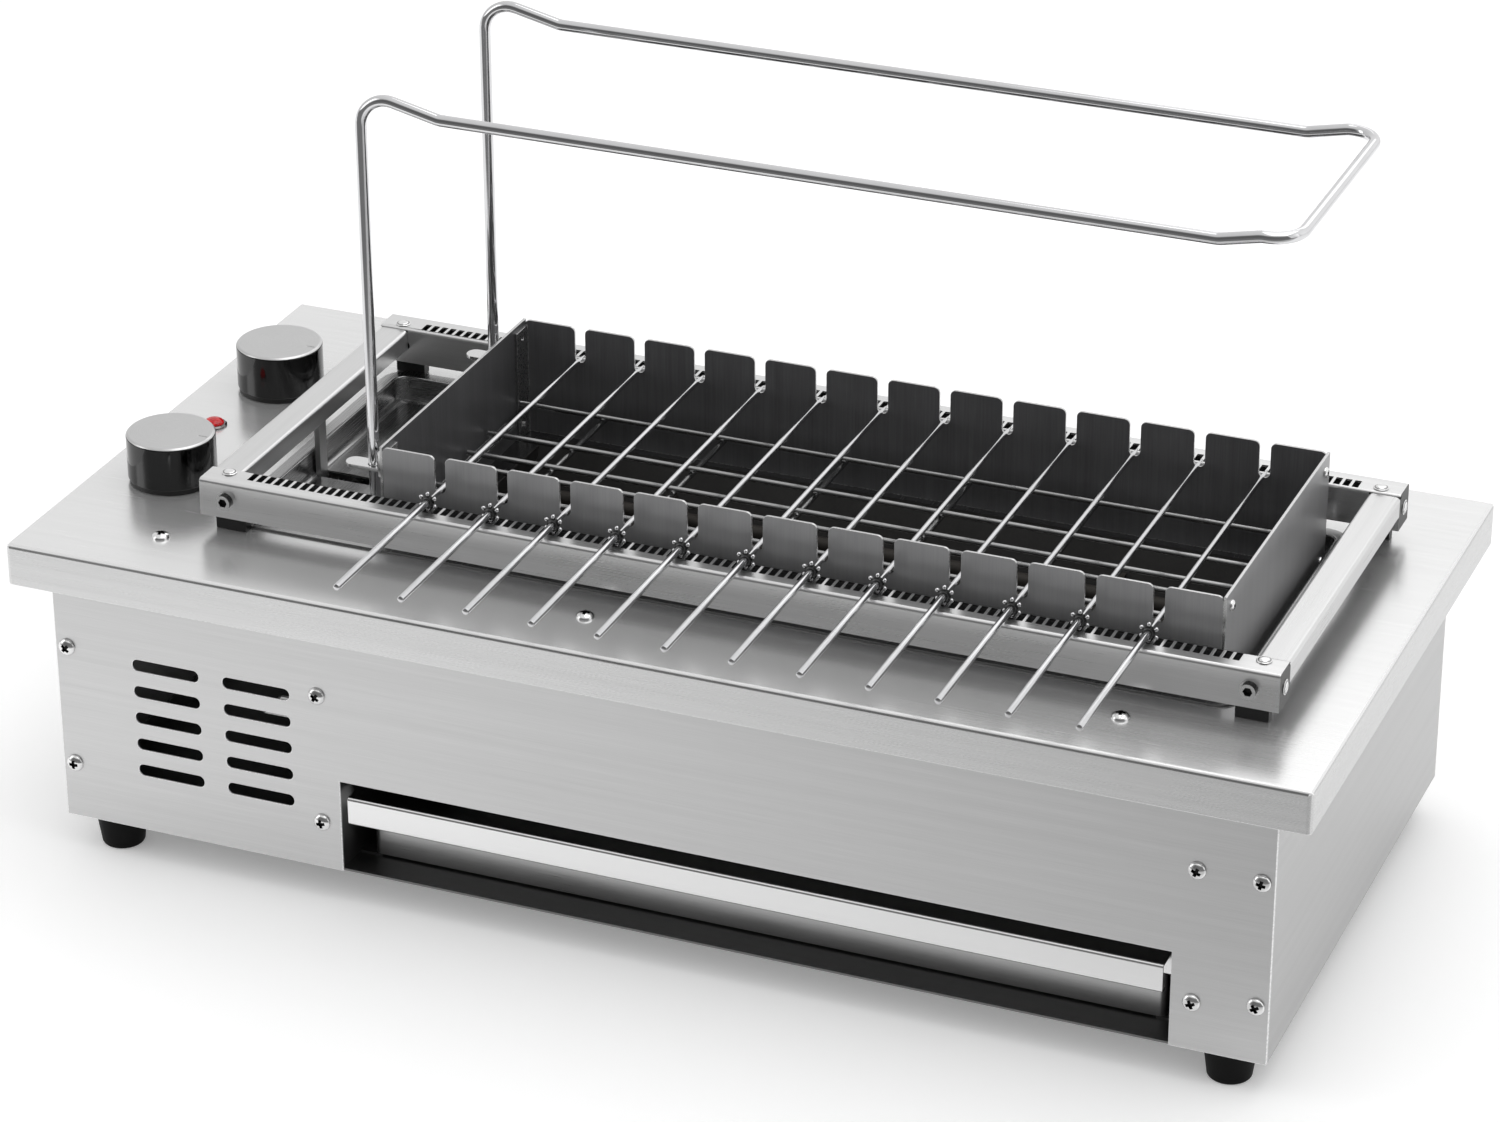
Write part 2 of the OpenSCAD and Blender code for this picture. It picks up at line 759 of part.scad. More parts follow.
module notched_plate() {
    seam = seam_w;
    along_y(-box_half_d - box_t, -box_half_d) polygon(notched_outline());
    foot = rail_gap - well_t - tray_r - slip;
    block([box_x0 + box_t, -box_half_d - box_t - foot, floor_z],
        [box_x1 - box_t, -box_half_d - box_t, floor_z + box_t]);
    for (x = [box_x0 + box_t, box_x1 - 2 * box_t])
        difference() {
            block([x, -box_half_d, floor_z], [x + box_t, -box_half_d + seam, box_top - tab_r]);
            for (z = box_screw_heights())
                translate([x + box_t / 2, -box_half_d + seam / 2, z]) rotate([0, 90, 0])
                    cylinder(h = 4 * past, r = box_screw_d / 2 + run_fit, center = true);
        }
}

function box_screw_heights() = [top_z + box_rise - box_screw_drop, floor_z + well_depth / 2];

module front_notched_plate() color("gray") grill() notched_plate();

module rear_notched_plate() color("gray") grill() mirror([0, 1, 0]) notched_plate();

// An end plate of the box, with the ledge that carries the grate
module end_plate(x, turn) {
    difference() {
        union() {
            block([min(x, x + turn * box_t), -box_half_d - box_t, floor_z],
                [max(x, x + turn * box_t), box_half_d + box_t, box_top]);
            block([min(x, x + turn * grate_ledge), -box_half_d + 2 * seam_w,
                    grate_low - slip - box_t],
                [max(x, x + turn * grate_ledge), box_half_d - 2 * seam_w, grate_low - slip]);
        }
        for (y = [-1, 1], z = box_screw_heights())
            translate([x + turn * box_t / 2, y * (box_half_d - seam_w / 2), z])
                rotate([0, 90, 0])
                    cylinder(h = 4 * past, r = box_screw_d / 2 + run_fit, center = true);
    }
}

module left_end_plate() color("dimgray") grill() end_plate(box_x0, 1);

module right_end_plate() color("dimgray") grill() end_plate(box_x1, -1);

module box_screws() color("whitesmoke") grill()
    for (x = [box_x0, box_x1], y = [-1, 1], z = box_screw_heights())
        translate([x, y * (box_half_d - seam_w / 2), z])
            rotate([0, x < 0 ? -90 : 90, 0])
                translate([0, 0, x < 0 && z > top_z ? eyelet_t : 0]) {
                    grip = 2 * box_t + (x < 0 && z > top_z ? eyelet_t : 0);
                    screw(box_screw_d, box_screw_head_d, box_screw_head_d / 3, grip + box_t);
                    translate([0, 0, -grip - 1.5 * box_t])
                        cylinder(h = 1.5 * box_t, d = box_screw_head_d, $fn = 6);
                }

// Wire rack and what carries it

module rack_eyelets() color("silver") grill() {
    strip_w = 2 * rod_d - rod_d / 3;
    tongue = 1.8 * rod_d;
    tab_top = box_screw_heights()[0] + box_screw_head_d / 2 + past;
    for (side = [-1, 1]) {
        y = side * rack_half_d - rack_shift;
        difference() {
            union() {
                translate([0, 0, eyelet_z]) linear_extrude(eyelet_t) polygon(round_rect(
                    rack_leg_x - tongue - strip_w / 2, y - strip_w / 2,
                    box_x0 - eyelet_t / 2, y + strip_w / 2, strip_w / 2 - slip));
                block([box_x0 - eyelet_t, min(y - strip_w / 2, side * box_half_d), eyelet_z],
                    [box_x0, max(y + strip_w / 2, side * box_half_d), tab_top]);
            }
            translate([rack_leg_x, y, eyelet_z - past])
                cylinder(h = eyelet_t + 2 * past, r = rod_d / 2 + loose_fit);
            translate([box_x0, side * (box_half_d - seam_w / 2), box_screw_heights()[0]])
                rotate([0, -quarter, 0])
                    cylinder(h = 4 * eyelet_t, r = box_screw_d / 2 + run_fit, center = true);
        }
    }
}

module rack_sockets() color("silver") grill()
    for (side = [-1, 1]) translate([rack_leg_x, side * rack_half_d - rack_shift, floor_z])
        difference() {
            cylinder(h = socket_h, d = 2 * rod_d);
            translate([0, 0, -past])
                cylinder(h = socket_h + 2 * past, r = rod_d / 2 + loose_fit);
        }

// A bent rod that starts at the origin along +Z. A step is [length] for a straight
// stretch, or [radius, angle, roll] for a bend towards its roll direction.
module bent_rod(steps, i = 0) {
    if (i < len(steps)) {
        s = steps[i];
        if (len(s) == 1) {
            cylinder(h = s[0], d = rod_d);
            translate([0, 0, s[0]]) bent_rod(steps, i + 1);
        } else {
            rotate([0, 0, s[2]]) {
                translate([s[0], 0, 0]) rotate([90, 0, 0]) rotate([0, 0, 180 - s[1]])
                    rotate_extrude(angle = s[1]) translate([s[0], 0]) circle(d = rod_d);
                translate([s[0], 0, 0]) rotate([0, s[1], 0]) translate([-s[0], 0, 0])
                    rotate([0, 0, -s[2]]) bent_rod(steps, i + 1);
            }
        }
    }
}

module wire_rack() color("silver") grill() {
    leg_len = top_z + rack_rise - rod_d / 2 - bend_r - floor_z;
    hump_x = bend_r + 2 * bend_r * sin(hump_angle) + hump_run * cos(hump_angle);
    kink_x = 2 * bend_r * sin(kink_angle) + kink_run * cos(kink_angle);
    level_len = rack_reach - hump_x - kink_x - bend_r;
    translate([0, -rack_shift, 0]) mirror_copy([0, 1, 0])
        translate([rack_leg_x, -rack_half_d, floor_z])
            bent_rod([
                [leg_len], [bend_r, quarter + hump_angle, 0], [hump_run],
                [bend_r, hump_angle, 180], [level_len],
                [bend_r, kink_angle, 180], [kink_run], [bend_r, kink_angle, 0],
                [bend_r, quarter, quarter], [rack_half_d - bend_r]]);
}

// Slotted frame

module rail() {
    grid_x0 = first_notch_x - slots_before * slot_pitch;
    difference() {
        union() {
            along_x(frame_x0, frame_x1)
                polygon(channel(-rail_out, -rail_in, rail_z, rail_top, rail_t));
            for (x = [frame_x0, frame_x1 - rail_t])
                along_x(x, x + rail_t)
                    polygon(arched(-rail_out, -rail_in, rail_z, rail_top, fold_in + rail_t));
        }
        for (i = [0 : slots_before + slots_after])
            block([grid_x0 + i * slot_pitch - slot_w / 2, -gear_y - slot_len / 2,
                    rail_top - rail_t - past],
                [grid_x0 + i * slot_pitch + slot_w / 2, -gear_y + slot_len / 2,
                    rail_top + past]);
        for (x = [frame_x0, bar_right_in])
            block([x, -rail_in - rail_t - past, bar_top - rail_t],
                [x + bar_w, -rail_in + past, bar_top]);
        for (x = [frame_x0 + end_in, frame_x1 - end_in])
            translate([x, -rail_in + past, glide_bolt_z]) rotate([90, 0, 0])
                cylinder(h = rail_w + 2 * past, r = glide_bolt_d / 2 + run_fit);
        for (x = [bar_left_in - rivet_in, bar_right_in + rivet_in])
            translate([x, -rivet_y, rail_top]) cylinder(h = 4 * past, r = rivet_d / 2 + run_fit,
                center = true);
        for (x = [frame_x0, frame_x1])
            translate([x, -rail_in - rail_w / 2, glide_bolt_z]) rotate([0, 90, 0])
                cylinder(h = 4 * past, r = rivet_d / 2 + run_fit, center = true);
    }
}

module front_rail() color("silver") grill() rail();

module rear_rail() color("silver") grill() mirror([0, 1, 0]) rail();

// A cross bar between the rails, with a tongue under each rail's top
module cross_bar(x0) {
    x1 = x0 + bar_w;
    tongue_y = rivet_y + rivet_d;
    difference() {
        union() {
            along_y(-rail_in, rail_in)
                polygon(channel(x0, x1, bar_top - bar_h, bar_top, rail_t));
            block([x0 + fold_in + rail_t, -tongue_y, bar_top - rail_t],
                [x1 - fold_in - rail_t, tongue_y, bar_top]);
        }
        for (y = [-1, 1])
            translate([x0 < 0 ? bar_left_in - rivet_in : bar_right_in + rivet_in,
                    y * rivet_y, bar_top])
                cylinder(h = 4 * past, r = rivet_d / 2 + run_fit, center = true);
    }
}

module left_bar() color("silver") grill() cross_bar(frame_x0);

module right_bar() color("silver") grill() cross_bar(bar_right_in);

// A flat round-headed rivet at the origin, its head on +Z
module rivet(len) {
    head_d = 2 * rivet_d;
    head_h = rivet_d / 3;
    rotate_extrude() polygon([[0, -len], [rivet_d / 2, -len], [rivet_d / 2, 0],
        [head_d / 2, 0], [head_d / 2, head_h / 3], [head_d / 2 - head_h, head_h], [0, head_h]]);
}

module frame_rivets() color("whitesmoke") grill() mirror_copy([0, 1, 0]) {
    for (x = [bar_left_in - rivet_in, bar_right_in + rivet_in])
        translate([x, -rivet_y, rail_top]) rivet(2 * rail_t + slip);
    for (x = [frame_x0, frame_x1])
        translate([x, -rail_in - rail_w / 2, glide_bolt_z])
            rotate([0, x < 0 ? -90 : 90, 0]) rivet(2 * rail_t);
}

module glide_bolts() color("lightgray") grill() mirror_copy([0, 1, 0])
    for (x = [frame_x0 + end_in, frame_x1 - end_in])
        translate([x, -rail_out, glide_bolt_z]) rotate([90, 0, 0]) {
            washer_t = 1;
            head_h = glide_bolt_d / 2;
            difference() {
                union() {
                    cylinder(h = washer_t, d = 2 * glide_bolt_d);
                    cylinder(h = washer_t + head_h, d = 1.6 * glide_bolt_d);
                }
                translate([0, 0, washer_t])
                    cylinder(h = head_h + past, d = glide_bolt_d, $fn = 6);
            }
            translate([0, 0, slip - rail_w]) cylinder(h = rail_w - slip,
                d = glide_bolt_d);
        }

// Blocks in the rail ends that slide on the top plate
module glide_blocks() color("black") grill() mirror_copy([0, 1, 0])
    for (x = [frame_x0 + rail_t, frame_x1 - rail_t - glide_len]) {
        rim_out = rail_in + rim_w + slip;
        low_x = x < 0 ? x + glide_in : x;
        difference() {
            union() {
                block([low_x, -rail_out + glide_in, top_z + slip],
                    [low_x + glide_len - glide_in, -rim_out, rail_z + past]);
                block([x, -rail_out + rail_t, rail_z],
                    [x + glide_len, -rail_in - rail_t, bar_top - 2 * rail_t - past]);
            }
            translate([x < 0 ? frame_x0 + end_in : frame_x1 - end_in, -rail_in, glide_bolt_z])
                rotate([90, 0, 0])
                    cylinder(h = rail_w, r = glide_bolt_d / 2 + run_fit);
            translate([x < 0 ? frame_x0 : frame_x1, -rail_in - rail_w / 2, glide_bolt_z])
                rotate([0, 90, 0])
                    cylinder(h = 6 * rail_t, r = rivet_d / 2 + run_fit, center = true);
        }
    }

// Drive

// Outline of the toothed bar, its teeth towards +Y
function tooth_bar(x0, x1) =
    let (half = tooth_pitch / 4 - backlash / 2, slope = tan(pressure_angle),
        first = ceil((x0 - pinion_x + tooth_pitch / 2) / tooth_pitch),
        last = floor((x1 - pinion_x - tooth_pitch / 2) / tooth_pitch))
    concat([[x1, 0], [x1, -arm_w], [x0, -arm_w], [x0, 0]],
        [for (i = [first : last]) let (c = pinion_x + i * tooth_pitch) each [
            [c - half - dedendum * slope, 0],
            [c - half + addendum * slope, dedendum + addendum],
            [c + half - addendum * slope, dedendum + addendum],
            [c + half + dedendum * slope, 0]]]);

module drive_rack() color("gray") grill() {
    foot_t = 2;
    foot_x0 = frame_x0 + 2 * rail_t;
    translate([0, 0, drive_z0]) linear_extrude(drive_h)
        polygon(tooth_bar(arm_x0, pinion_x + bar_tail));
    block([arm_x0, -arm_w, drive_z0], [arm_x0 + arm_t, 0, bar_top - rail_t]);
    block([foot_x0, -arm_w, bar_top - rail_t - foot_t], [arm_x0 + past, 0, bar_top - rail_t]);
}

// Points of one involute flank, from the root to the tip, as [radius, half angle]
function inv(a) = tan(a) * 180 / PI - a;
function flank_angle(r) =
    90 / pinion_teeth - backlash / 2 / pinion_r * 180 / PI / 2 + inv(pressure_angle)
        - (r > base_r ? inv(acos(base_r / r)) : 0);
function tooth_side(side) =
    [for (i = [0 : flank_steps])
        let (r = i == 0 ? root_r : base_r + (tip_r - base_r) * (i - 1) / (flank_steps - 1))
        [r, side * flank_angle(r)]];

module drive_pinion() color("gray") grill() translate([pinion_x, pinion_y, 0]) {
    step = 360 / pinion_teeth;
    outline = [for (t = [0 : pinion_teeth - 1])
        let (middle = -90 + (t + 0.5) * step,
            falling = [for (i = [flank_steps : -1 : 0]) tooth_side(1)[i]])
        each concat(
            [for (p = tooth_side(-1)) [p[0] * cos(middle + p[1]), p[0] * sin(middle + p[1])]],
            [for (p = falling) [p[0] * cos(middle + p[1]), p[0] * sin(middle + p[1])]])];
    translate([0, 0, drive_z0]) linear_extrude(drive_h) polygon(outline);
    translate([0, 0, motor_top - shaft_in]) cylinder(h = drive_z1 - motor_top + shaft_in + past,
        d = shaft_d);
}

module gear_motor() color("dimgray") grill() {
    wing = pinion_r * 2;
    leg_y0 = -arm_w - 3 * bracket_t;
    leg_y1 = pinion_y + tip_r + 2 * bracket_t;
    bore = shaft_d / 2 + run_fit;
    difference() {
        union() {
            block([pinion_x - wing, leg_y0, motor_top],
                [pinion_x + wing, leg_y1 + bracket_t, motor_top + bracket_t]);
            for (y = [leg_y0, leg_y1])
                block([pinion_x - wing, y, motor_top],
                    [pinion_x + wing, y + bracket_t, under_floor]);
            translate([0, 0, motor_top - gearbox_h]) linear_extrude(gearbox_h)
                polygon(round_rect(pinion_x - motor_d / 2, pinion_y - motor_d / 2 - bracket_t,
                    pinion_x + motor_d / 2, pinion_y + motor_d / 2 + bracket_t,
                    2 * bracket_t));
            translate([pinion_x, pinion_y, motor_top - gearbox_h - motor_h])
                cylinder(h = motor_h, d = motor_d);
        }
        translate([pinion_x, pinion_y, motor_top - shaft_in - past])
            cylinder(h = shaft_in + bracket_t + 2 * past, r = bore);
    }
}

// Knobs, controls and lamp

module knob_cap(y) translate([knob_x, y, top_z + knob_gap]) {
    r = knob_d / 2;
    bevel = 1.2;
    mark_w = 1;
    difference() {
        rotate_extrude() polygon([
            [0, knob_h - knob_gap - knob_wall], [r - knob_wall, knob_h - knob_gap - knob_wall],
            [r - knob_wall, knob_ring_h], [r, knob_ring_h], [r, knob_h - knob_gap - bevel],
            [r - bevel, knob_h - knob_gap], [0, knob_h - knob_gap]]);
        block([0.7 * r, -mark_w / 2, knob_h - knob_gap - mark_w / 2],
            [0.9 * r, mark_w / 2, knob_h - knob_gap + past]);
    }
}

module knob_core(y) translate([knob_x, y, top_z + knob_gap]) {
    r = knob_d / 2;
    lower = knob_gap + plate_t + control_h / 2;
    rotate_extrude() polygon([
        [0, -lower], [shaft_d / 2, -lower], [shaft_d / 2, 0], [r - knob_wall / 2, 0],
        [r - knob_wall / 2, knob_ring_h], [r - knob_wall - run_fit, knob_ring_h],
        [r - knob_wall - run_fit, knob_h - knob_gap - knob_wall],
        [0, knob_h - knob_gap - knob_wall]]);
}

module control_body(y) translate([knob_x, y, cab_top]) {
    difference() {
        union() {
            translate([0, 0, -control_h]) linear_extrude(control_h) polygon(round_rect(
                -control_w / 2, -control_w / 2, control_w / 2, control_w / 2, control_w / 10));
            cylinder(h = plate_t, d = bush_d);
        }
        translate([0, 0, -control_h / 2 - past])
            cylinder(h = control_h / 2 + plate_t + 2 * past, r = shaft_d / 2 + run_fit);
    }
    for (x = [-1, 1]) block(
        [x * control_w / 4 - past, -control_w / 8, -control_h - control_w / 5],
        [x * control_w / 4 + past, control_w / 8, -control_h]);
}

module front_knob() color("gray") grill() knob_cap(front_knob_y);

module front_knob_core() color("black") grill() knob_core(front_knob_y);

module rear_knob() color("gray") grill() knob_cap(rear_knob_y);

module rear_knob_core() color("black") grill() knob_core(rear_knob_y);

module speed_control() color("dimgray") grill() control_body(front_knob_y);

module thermostat() color("dimgray") grill() control_body(rear_knob_y);

module lamp_bezel() color("silver") grill() translate([lamp_x, lamp_y, 0]) {
    barrel = lamp_barrel_d / 2;
    bore = barrel - lamp_wall;
    rotate_extrude() polygon([
        [bore, cab_top - control_h], [barrel, cab_top - control_h], [barrel, top_z],
        [lens_d / 2 + lamp_wall, top_z], [lens_d / 2 + lamp_wall, top_z + bezel_h / 2],
        [lens_d / 2 + lamp_wall / 2, top_z + bezel_h], [lens_d / 2, top_z + bezel_h],
        [lens_d / 2, top_z + bezel_h / 2], [bore, top_z + bezel_h / 2]]);
}

module lamp_lens() color("red") grill()
    translate([lamp_x, lamp_y, top_z + bezel_h / 2]) {
        dome = [for (i = [0 : arc_steps]) let (a = 90 * i / arc_steps)
            [lens_d / 2 * sin(a), bezel_h / 2 + lens_d / 4 * cos(a)]];
        rotate_extrude() polygon(concat(
            [[0, -cabinet_h / 20], [lamp_barrel_d / 2 - lamp_wall, -cabinet_h / 20],
                [lamp_barrel_d / 2 - lamp_wall, 0], [lens_d / 2, 0]],
            [for (i = [arc_steps : -1 : 0]) dome[i]]));
    }

// Electrical parts behind the control side

module terminal_block() color("ivory") grill() {
    pole = 12;
    poles = 4;
    block_d = 2 * pole;
    x0 = -cabinet_w / 2 + seam_w + pole;
    y0 = cabinet_d / 4;
    low = foot_h + base_t;
    difference() {
        block([x0, y0, low], [x0 + poles * pole, y0 + block_d, low + 1.5 * pole]);
        for (i = [0 : poles - 1], y = [block_d / 4, 3 * block_d / 4])
            translate([x0 + (i + 0.5) * pole, y0 + y, low + pole])
                cylinder(h = pole, d = pole / 2);
        for (i = [1 : poles - 1])
            block([x0 + i * pole - past / 2, y0 - past, low + pole],
                [x0 + i * pole + past / 2, y0 + block_d + past, low + 2 * pole]);
    }
}

module cable_gland() color("black") grill()
    translate([gland_x, cabinet_d / 2, gland_z]) rotate([-90, 0, 0]) {
        dome_l = 0.6 * gland_d;
        thread_l = 0.6 * gland_d;
        nut_l = gland_d / 4;
        difference() {
            union() {
                rotate_extrude() polygon(concat(
                    [[0, 0], [gland_d / 2, 0], [gland_d / 2, dome_l / 2]],
                    arc(gland_d / 2 - gland_d / 6, dome_l - gland_d / 6, gland_d / 6, 0, 90),
                    [[0, dome_l]]));
                translate([0, 0, -thread_l]) cylinder(h = thread_l, d = gland_thread_d);
                translate([0, 0, -sheet_t - nut_l]) cylinder(h = nut_l, d = gland_d, $fn = 6);
            }
            translate([0, 0, -thread_l - past])
                cylinder(h = thread_l + dome_l + 2 * past, d = cord_hole_d);
        }
    }

// Drawer

module drip_drawer() color("silver") grill() {
    r = drawer_corner_r;
    difference() {
        translate([0, 0, drawer_z]) linear_extrude(drawer_h)
            polygon(round_rect(drawer_x0, drawer_front_y, drawer_x1, drawer_rear_y, r));
        translate([0, 0, drawer_z + drawer_t]) linear_extrude(drawer_h)
            polygon(round_rect(drawer_x0 + drawer_t, drawer_front_y + drawer_t,
                drawer_x1 - drawer_t, drawer_rear_y - drawer_t, r - drawer_t));
    }
}

// A folded sheet: a back on the drawer's front wall, a top and the gripping face
module drawer_handle() color("whitesmoke") grill() {
    front = -cabinet_d / 2;
    hem = 4 * drawer_t;
    r = fold_in + drawer_t;
    low = drawer_top - grip_h;
    along_x(handle_x0, handle_x1) polygon(concat(
        [[drawer_front_y, low], [drawer_front_y, drawer_top]],
        arc(front + r, drawer_top - r, r, 90, 180), arc(front + r, low + r, r, 180, 270),
        [[front + hem, low], [front + hem, low + drawer_t]],
        arc(front + r, low + r, fold_in, 270, 180),
        arc(front + r, drawer_top - r, fold_in, 180, 90),
        [[drawer_front_y - drawer_t, drawer_top - drawer_t], [drawer_front_y - drawer_t, low]]));
}

module runner(x, turn) {
    reach = cabinet_d / 2 - sheet_t;
    ledge = drawer_gap + 4 * drawer_t;
    top = opening_top + seam_w / 3;
    difference() {
        union() {
            block([min(x, x - turn * sheet_t), -reach, foot_h + base_t],
                [max(x, x - turn * sheet_t), reach, top]);
            block([min(x, x - turn * seam_w), -reach, foot_h + base_t],
                [max(x, x - turn * seam_w), -reach + sheet_t, top]);
            block([min(x, x - turn * seam_w), reach - sheet_t, foot_h + base_t],
                [max(x, x - turn * seam_w), reach, top]);
            block([min(x, x + turn * ledge), drawer_front_y, drawer_z - sheet_t],
                [max(x, x + turn * ledge), reach, drawer_z]);
        }
        for (y = [-reach + sheet_t / 2, reach - sheet_t / 2])
            hole_y(x - turn * inner_screw_in, y, foot_h + inner_screw_low, screw_hole_r);
    }
}

module drawer_runners() color("dimgray") grill() {
    runner(opening_x0, 1);
    runner(opening_x1, -1);
}

// Skewers

module skewer(i) color("silver") grill()
    translate([first_notch_x + (i - 1) * notch_pitch, -gear_y, axis_z]) rotate([-90, 0, 0]) {
        hub_d = 2 * blade_d;
        hub_l = 1.2 * blade_d;
        pin_r = blade_d / 3;
        ball_r = (slot_w - past) / 2;
        ball_at = pin_circle_r - ball_r / 3;
        neck = acos(pin_r / ball_r);
        tip_l = 4 * blade_d;
        rear_y = box_half_d + box_t + rail_gap / 2;
        blade_l = gear_y + rear_y - tip_l;
        rotate_extrude() polygon([
            [0, -handle_len], [handle_d / 3, -handle_len], [handle_d / 2, -handle_len + past],
            [handle_d / 2, -hub_l / 2], [hub_d / 2, -hub_l / 2], [hub_d / 2, hub_l / 2],
            [blade_d / 2, hub_l / 2], [blade_d / 2, blade_l], [0, blade_l + tip_l]]);
        for (pin = [0 : pin_count - 1]) rotate([0, 0, quarter + pin * 360 / pin_count])
            rotate([0, 90, 0]) translate([0, 0, ball_at]) rotate_extrude($fn = 16)
                polygon(concat([[0, -ball_at + hub_d / 4], [pin_r, -ball_at + hub_d / 4]],
                    arc(0, 0, ball_r, -neck, 90)));
    }

base_plate();
front_panel();
rear_panel();
left_side_panel();
right_side_panel();
top_plate();
feet();
panel_screws();
top_screws();
left_partition();
right_partition();
well_liner();
heat_reflector();
heating_elements();
grate();
front_notched_plate();
rear_notched_plate();
left_end_plate();
right_end_plate();
box_screws();
rack_eyelets();
rack_sockets();
wire_rack();
front_rail();
rear_rail();
left_bar();
right_bar();
frame_rivets();
glide_bolts();
glide_blocks();
drive_rack();
drive_pinion();
gear_motor();
front_knob();
front_knob_core();
rear_knob();
rear_knob_core();
speed_control();
thermostat();
lamp_lens();
lamp_bezel();
terminal_block();
cable_gland();
drip_drawer();
drawer_handle();
drawer_runners();
skewer(1);  // skewer_01
skewer(2);  // skewer_02
skewer(3);  // skewer_03
skewer(4);  // skewer_04
skewer(5);  // skewer_05
skewer(6);  // skewer_06
skewer(7);  // skewer_07
skewer(8);  // skewer_08
skewer(9);  // skewer_09
skewer(10);  // skewer_10
skewer(11);  // skewer_11
skewer(12);  // skewer_12
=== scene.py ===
"""Looks of an electric skewer grill: brushed sheet steel, dark box, bright rods and knobs."""

import json
import math

import bmesh
import bpy
from mathutils import Matrix, Vector


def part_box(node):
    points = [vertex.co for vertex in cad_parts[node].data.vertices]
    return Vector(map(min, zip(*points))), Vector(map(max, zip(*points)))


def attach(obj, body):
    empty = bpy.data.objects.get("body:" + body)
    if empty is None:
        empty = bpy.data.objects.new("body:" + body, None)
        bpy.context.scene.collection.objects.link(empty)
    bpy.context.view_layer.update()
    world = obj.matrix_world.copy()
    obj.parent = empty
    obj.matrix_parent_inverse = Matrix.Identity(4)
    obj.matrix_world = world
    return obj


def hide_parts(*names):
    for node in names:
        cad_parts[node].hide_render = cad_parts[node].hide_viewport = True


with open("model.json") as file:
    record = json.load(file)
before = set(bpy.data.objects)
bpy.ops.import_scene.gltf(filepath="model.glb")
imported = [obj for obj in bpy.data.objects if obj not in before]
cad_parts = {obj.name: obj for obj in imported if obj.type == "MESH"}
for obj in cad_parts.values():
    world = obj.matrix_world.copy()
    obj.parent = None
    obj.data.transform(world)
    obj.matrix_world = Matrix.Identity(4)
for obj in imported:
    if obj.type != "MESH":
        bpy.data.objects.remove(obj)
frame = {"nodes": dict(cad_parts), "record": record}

bl_info = {
    "name": "Skewer Grill Looks",
    "version": (1, 0, 0),
    "blender": (4, 5, 0),
    "location": "3D View > Sidebar > Grill",
    "description": "Finishes the sheet metal, rods, knobs and skewers of a packed skewer grill",
    "category": "Object",
}

NODES = frame["nodes"]
BODY_OF = {n: b for b, names in frame["record"]["behaviour"]["bodies"].items() for n in names}
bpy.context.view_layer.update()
MM = 0.001
SKEWERS = sorted(n for n in NODES if n.startswith("skewer_"))


# Shader and geometry trees


class Value:
    """A socket that takes Python's operators and adds the Math nodes for them."""

    def __init__(self, tree, socket):
        self.tree = tree
        self.socket = socket

    def _math(self, operation, first, second):
        return self.tree.value("ShaderNodeMath", {"operation": operation}, {0: first, 1: second})

    def __add__(self, other):
        return self._math("ADD", self, other)

    def __sub__(self, other):
        return self._math("SUBTRACT", self, other)

    def __mul__(self, other):
        return self._math("MULTIPLY", self, other)

    def __pow__(self, other):
        return self._math("POWER", self, other)

    def __rsub__(self, other):
        return self._math("SUBTRACT", other, self)

    __radd__ = __add__
    __rmul__ = __mul__

    def over(self, limit):
        """1 where the value is over a limit, and 0 elsewhere."""
        return self._math("GREATER_THAN", self, limit)

    def size(self):
        return self.tree.value("ShaderNodeMath", {"operation": "ABSOLUTE"}, {0: self})

    def ramp(self, low, high):
        """A smooth rise from 0 at one value to 1 at another."""
        return self.tree.value("ShaderNodeMapRange", {"interpolation_type": "SMOOTHSTEP"},
                               {"Value": self, "From Min": low, "From Max": high,
                                "To Min": 0.0, "To Max": 1.0})


class Tree:
    """A node tree with one method that adds a node, sets it and links its sockets."""

    def __init__(self, nodes):
        self.tree = nodes

    def node(self, kind, settings=None, inputs=None):
        made = self.tree.nodes.new(kind)
        for key, value in (settings or {}).items():
            setattr(made, key, value)
        for key, value in (inputs or {}).items():
            if isinstance(value, Value):
                self.tree.links.new(value.socket, made.inputs[key])
            elif isinstance(value, bpy.types.NodeSocket):
                self.tree.links.new(value, made.inputs[key])
            else:
                made.inputs[key].default_value = value
        return made

    def value(self, kind, settings=None, inputs=None, out=0):
        return Value(self, self.node(kind, settings, inputs).outputs[out])

    def mix(self, factor, first, second):
        made = self.node("ShaderNodeMix", {"data_type": "RGBA"}, {0: factor, 6: first, 7: second})
        return made.outputs[2]

    def noise(self, place, scale, detail=2.0, rough=0.5):
        return self.value("ShaderNodeTexNoise", {}, {
            "Vector": place, "Scale": scale, "Detail": detail, "Roughness": rough})

    def mapped(self, place, scale, turn=(0, 0, 0), move=(0, 0, 0)):
        return self.node("ShaderNodeMapping", {}, {
            "Vector": place, "Scale": scale, "Rotation": turn, "Location": move}).outputs[0]

    def parts(self, vector):
        made = self.node("ShaderNodeSeparateXYZ", {}, {0: vector})
        return [Value(self, made.outputs[i]) for i in range(3)]

    def place(self):
        return self.node("ShaderNodeTexCoord").outputs["Object"]

    def measured_from(self, middle, place):
        """X, Y and Z of a place, counted from a middle point."""
        return self.parts(self.mapped(place, (1, 1, 1), (0, 0, 0), [-c for c in middle]))

    def facing(self):
        """X, Y and Z of the surface's own direction."""
        return self.parts(self.node("ShaderNodeNewGeometry").outputs["Normal"])

    def mark(self, name):
        """A number that the mesh carries under a name."""
        return self.value("ShaderNodeAttribute", {"attribute_name": name}, out=2)


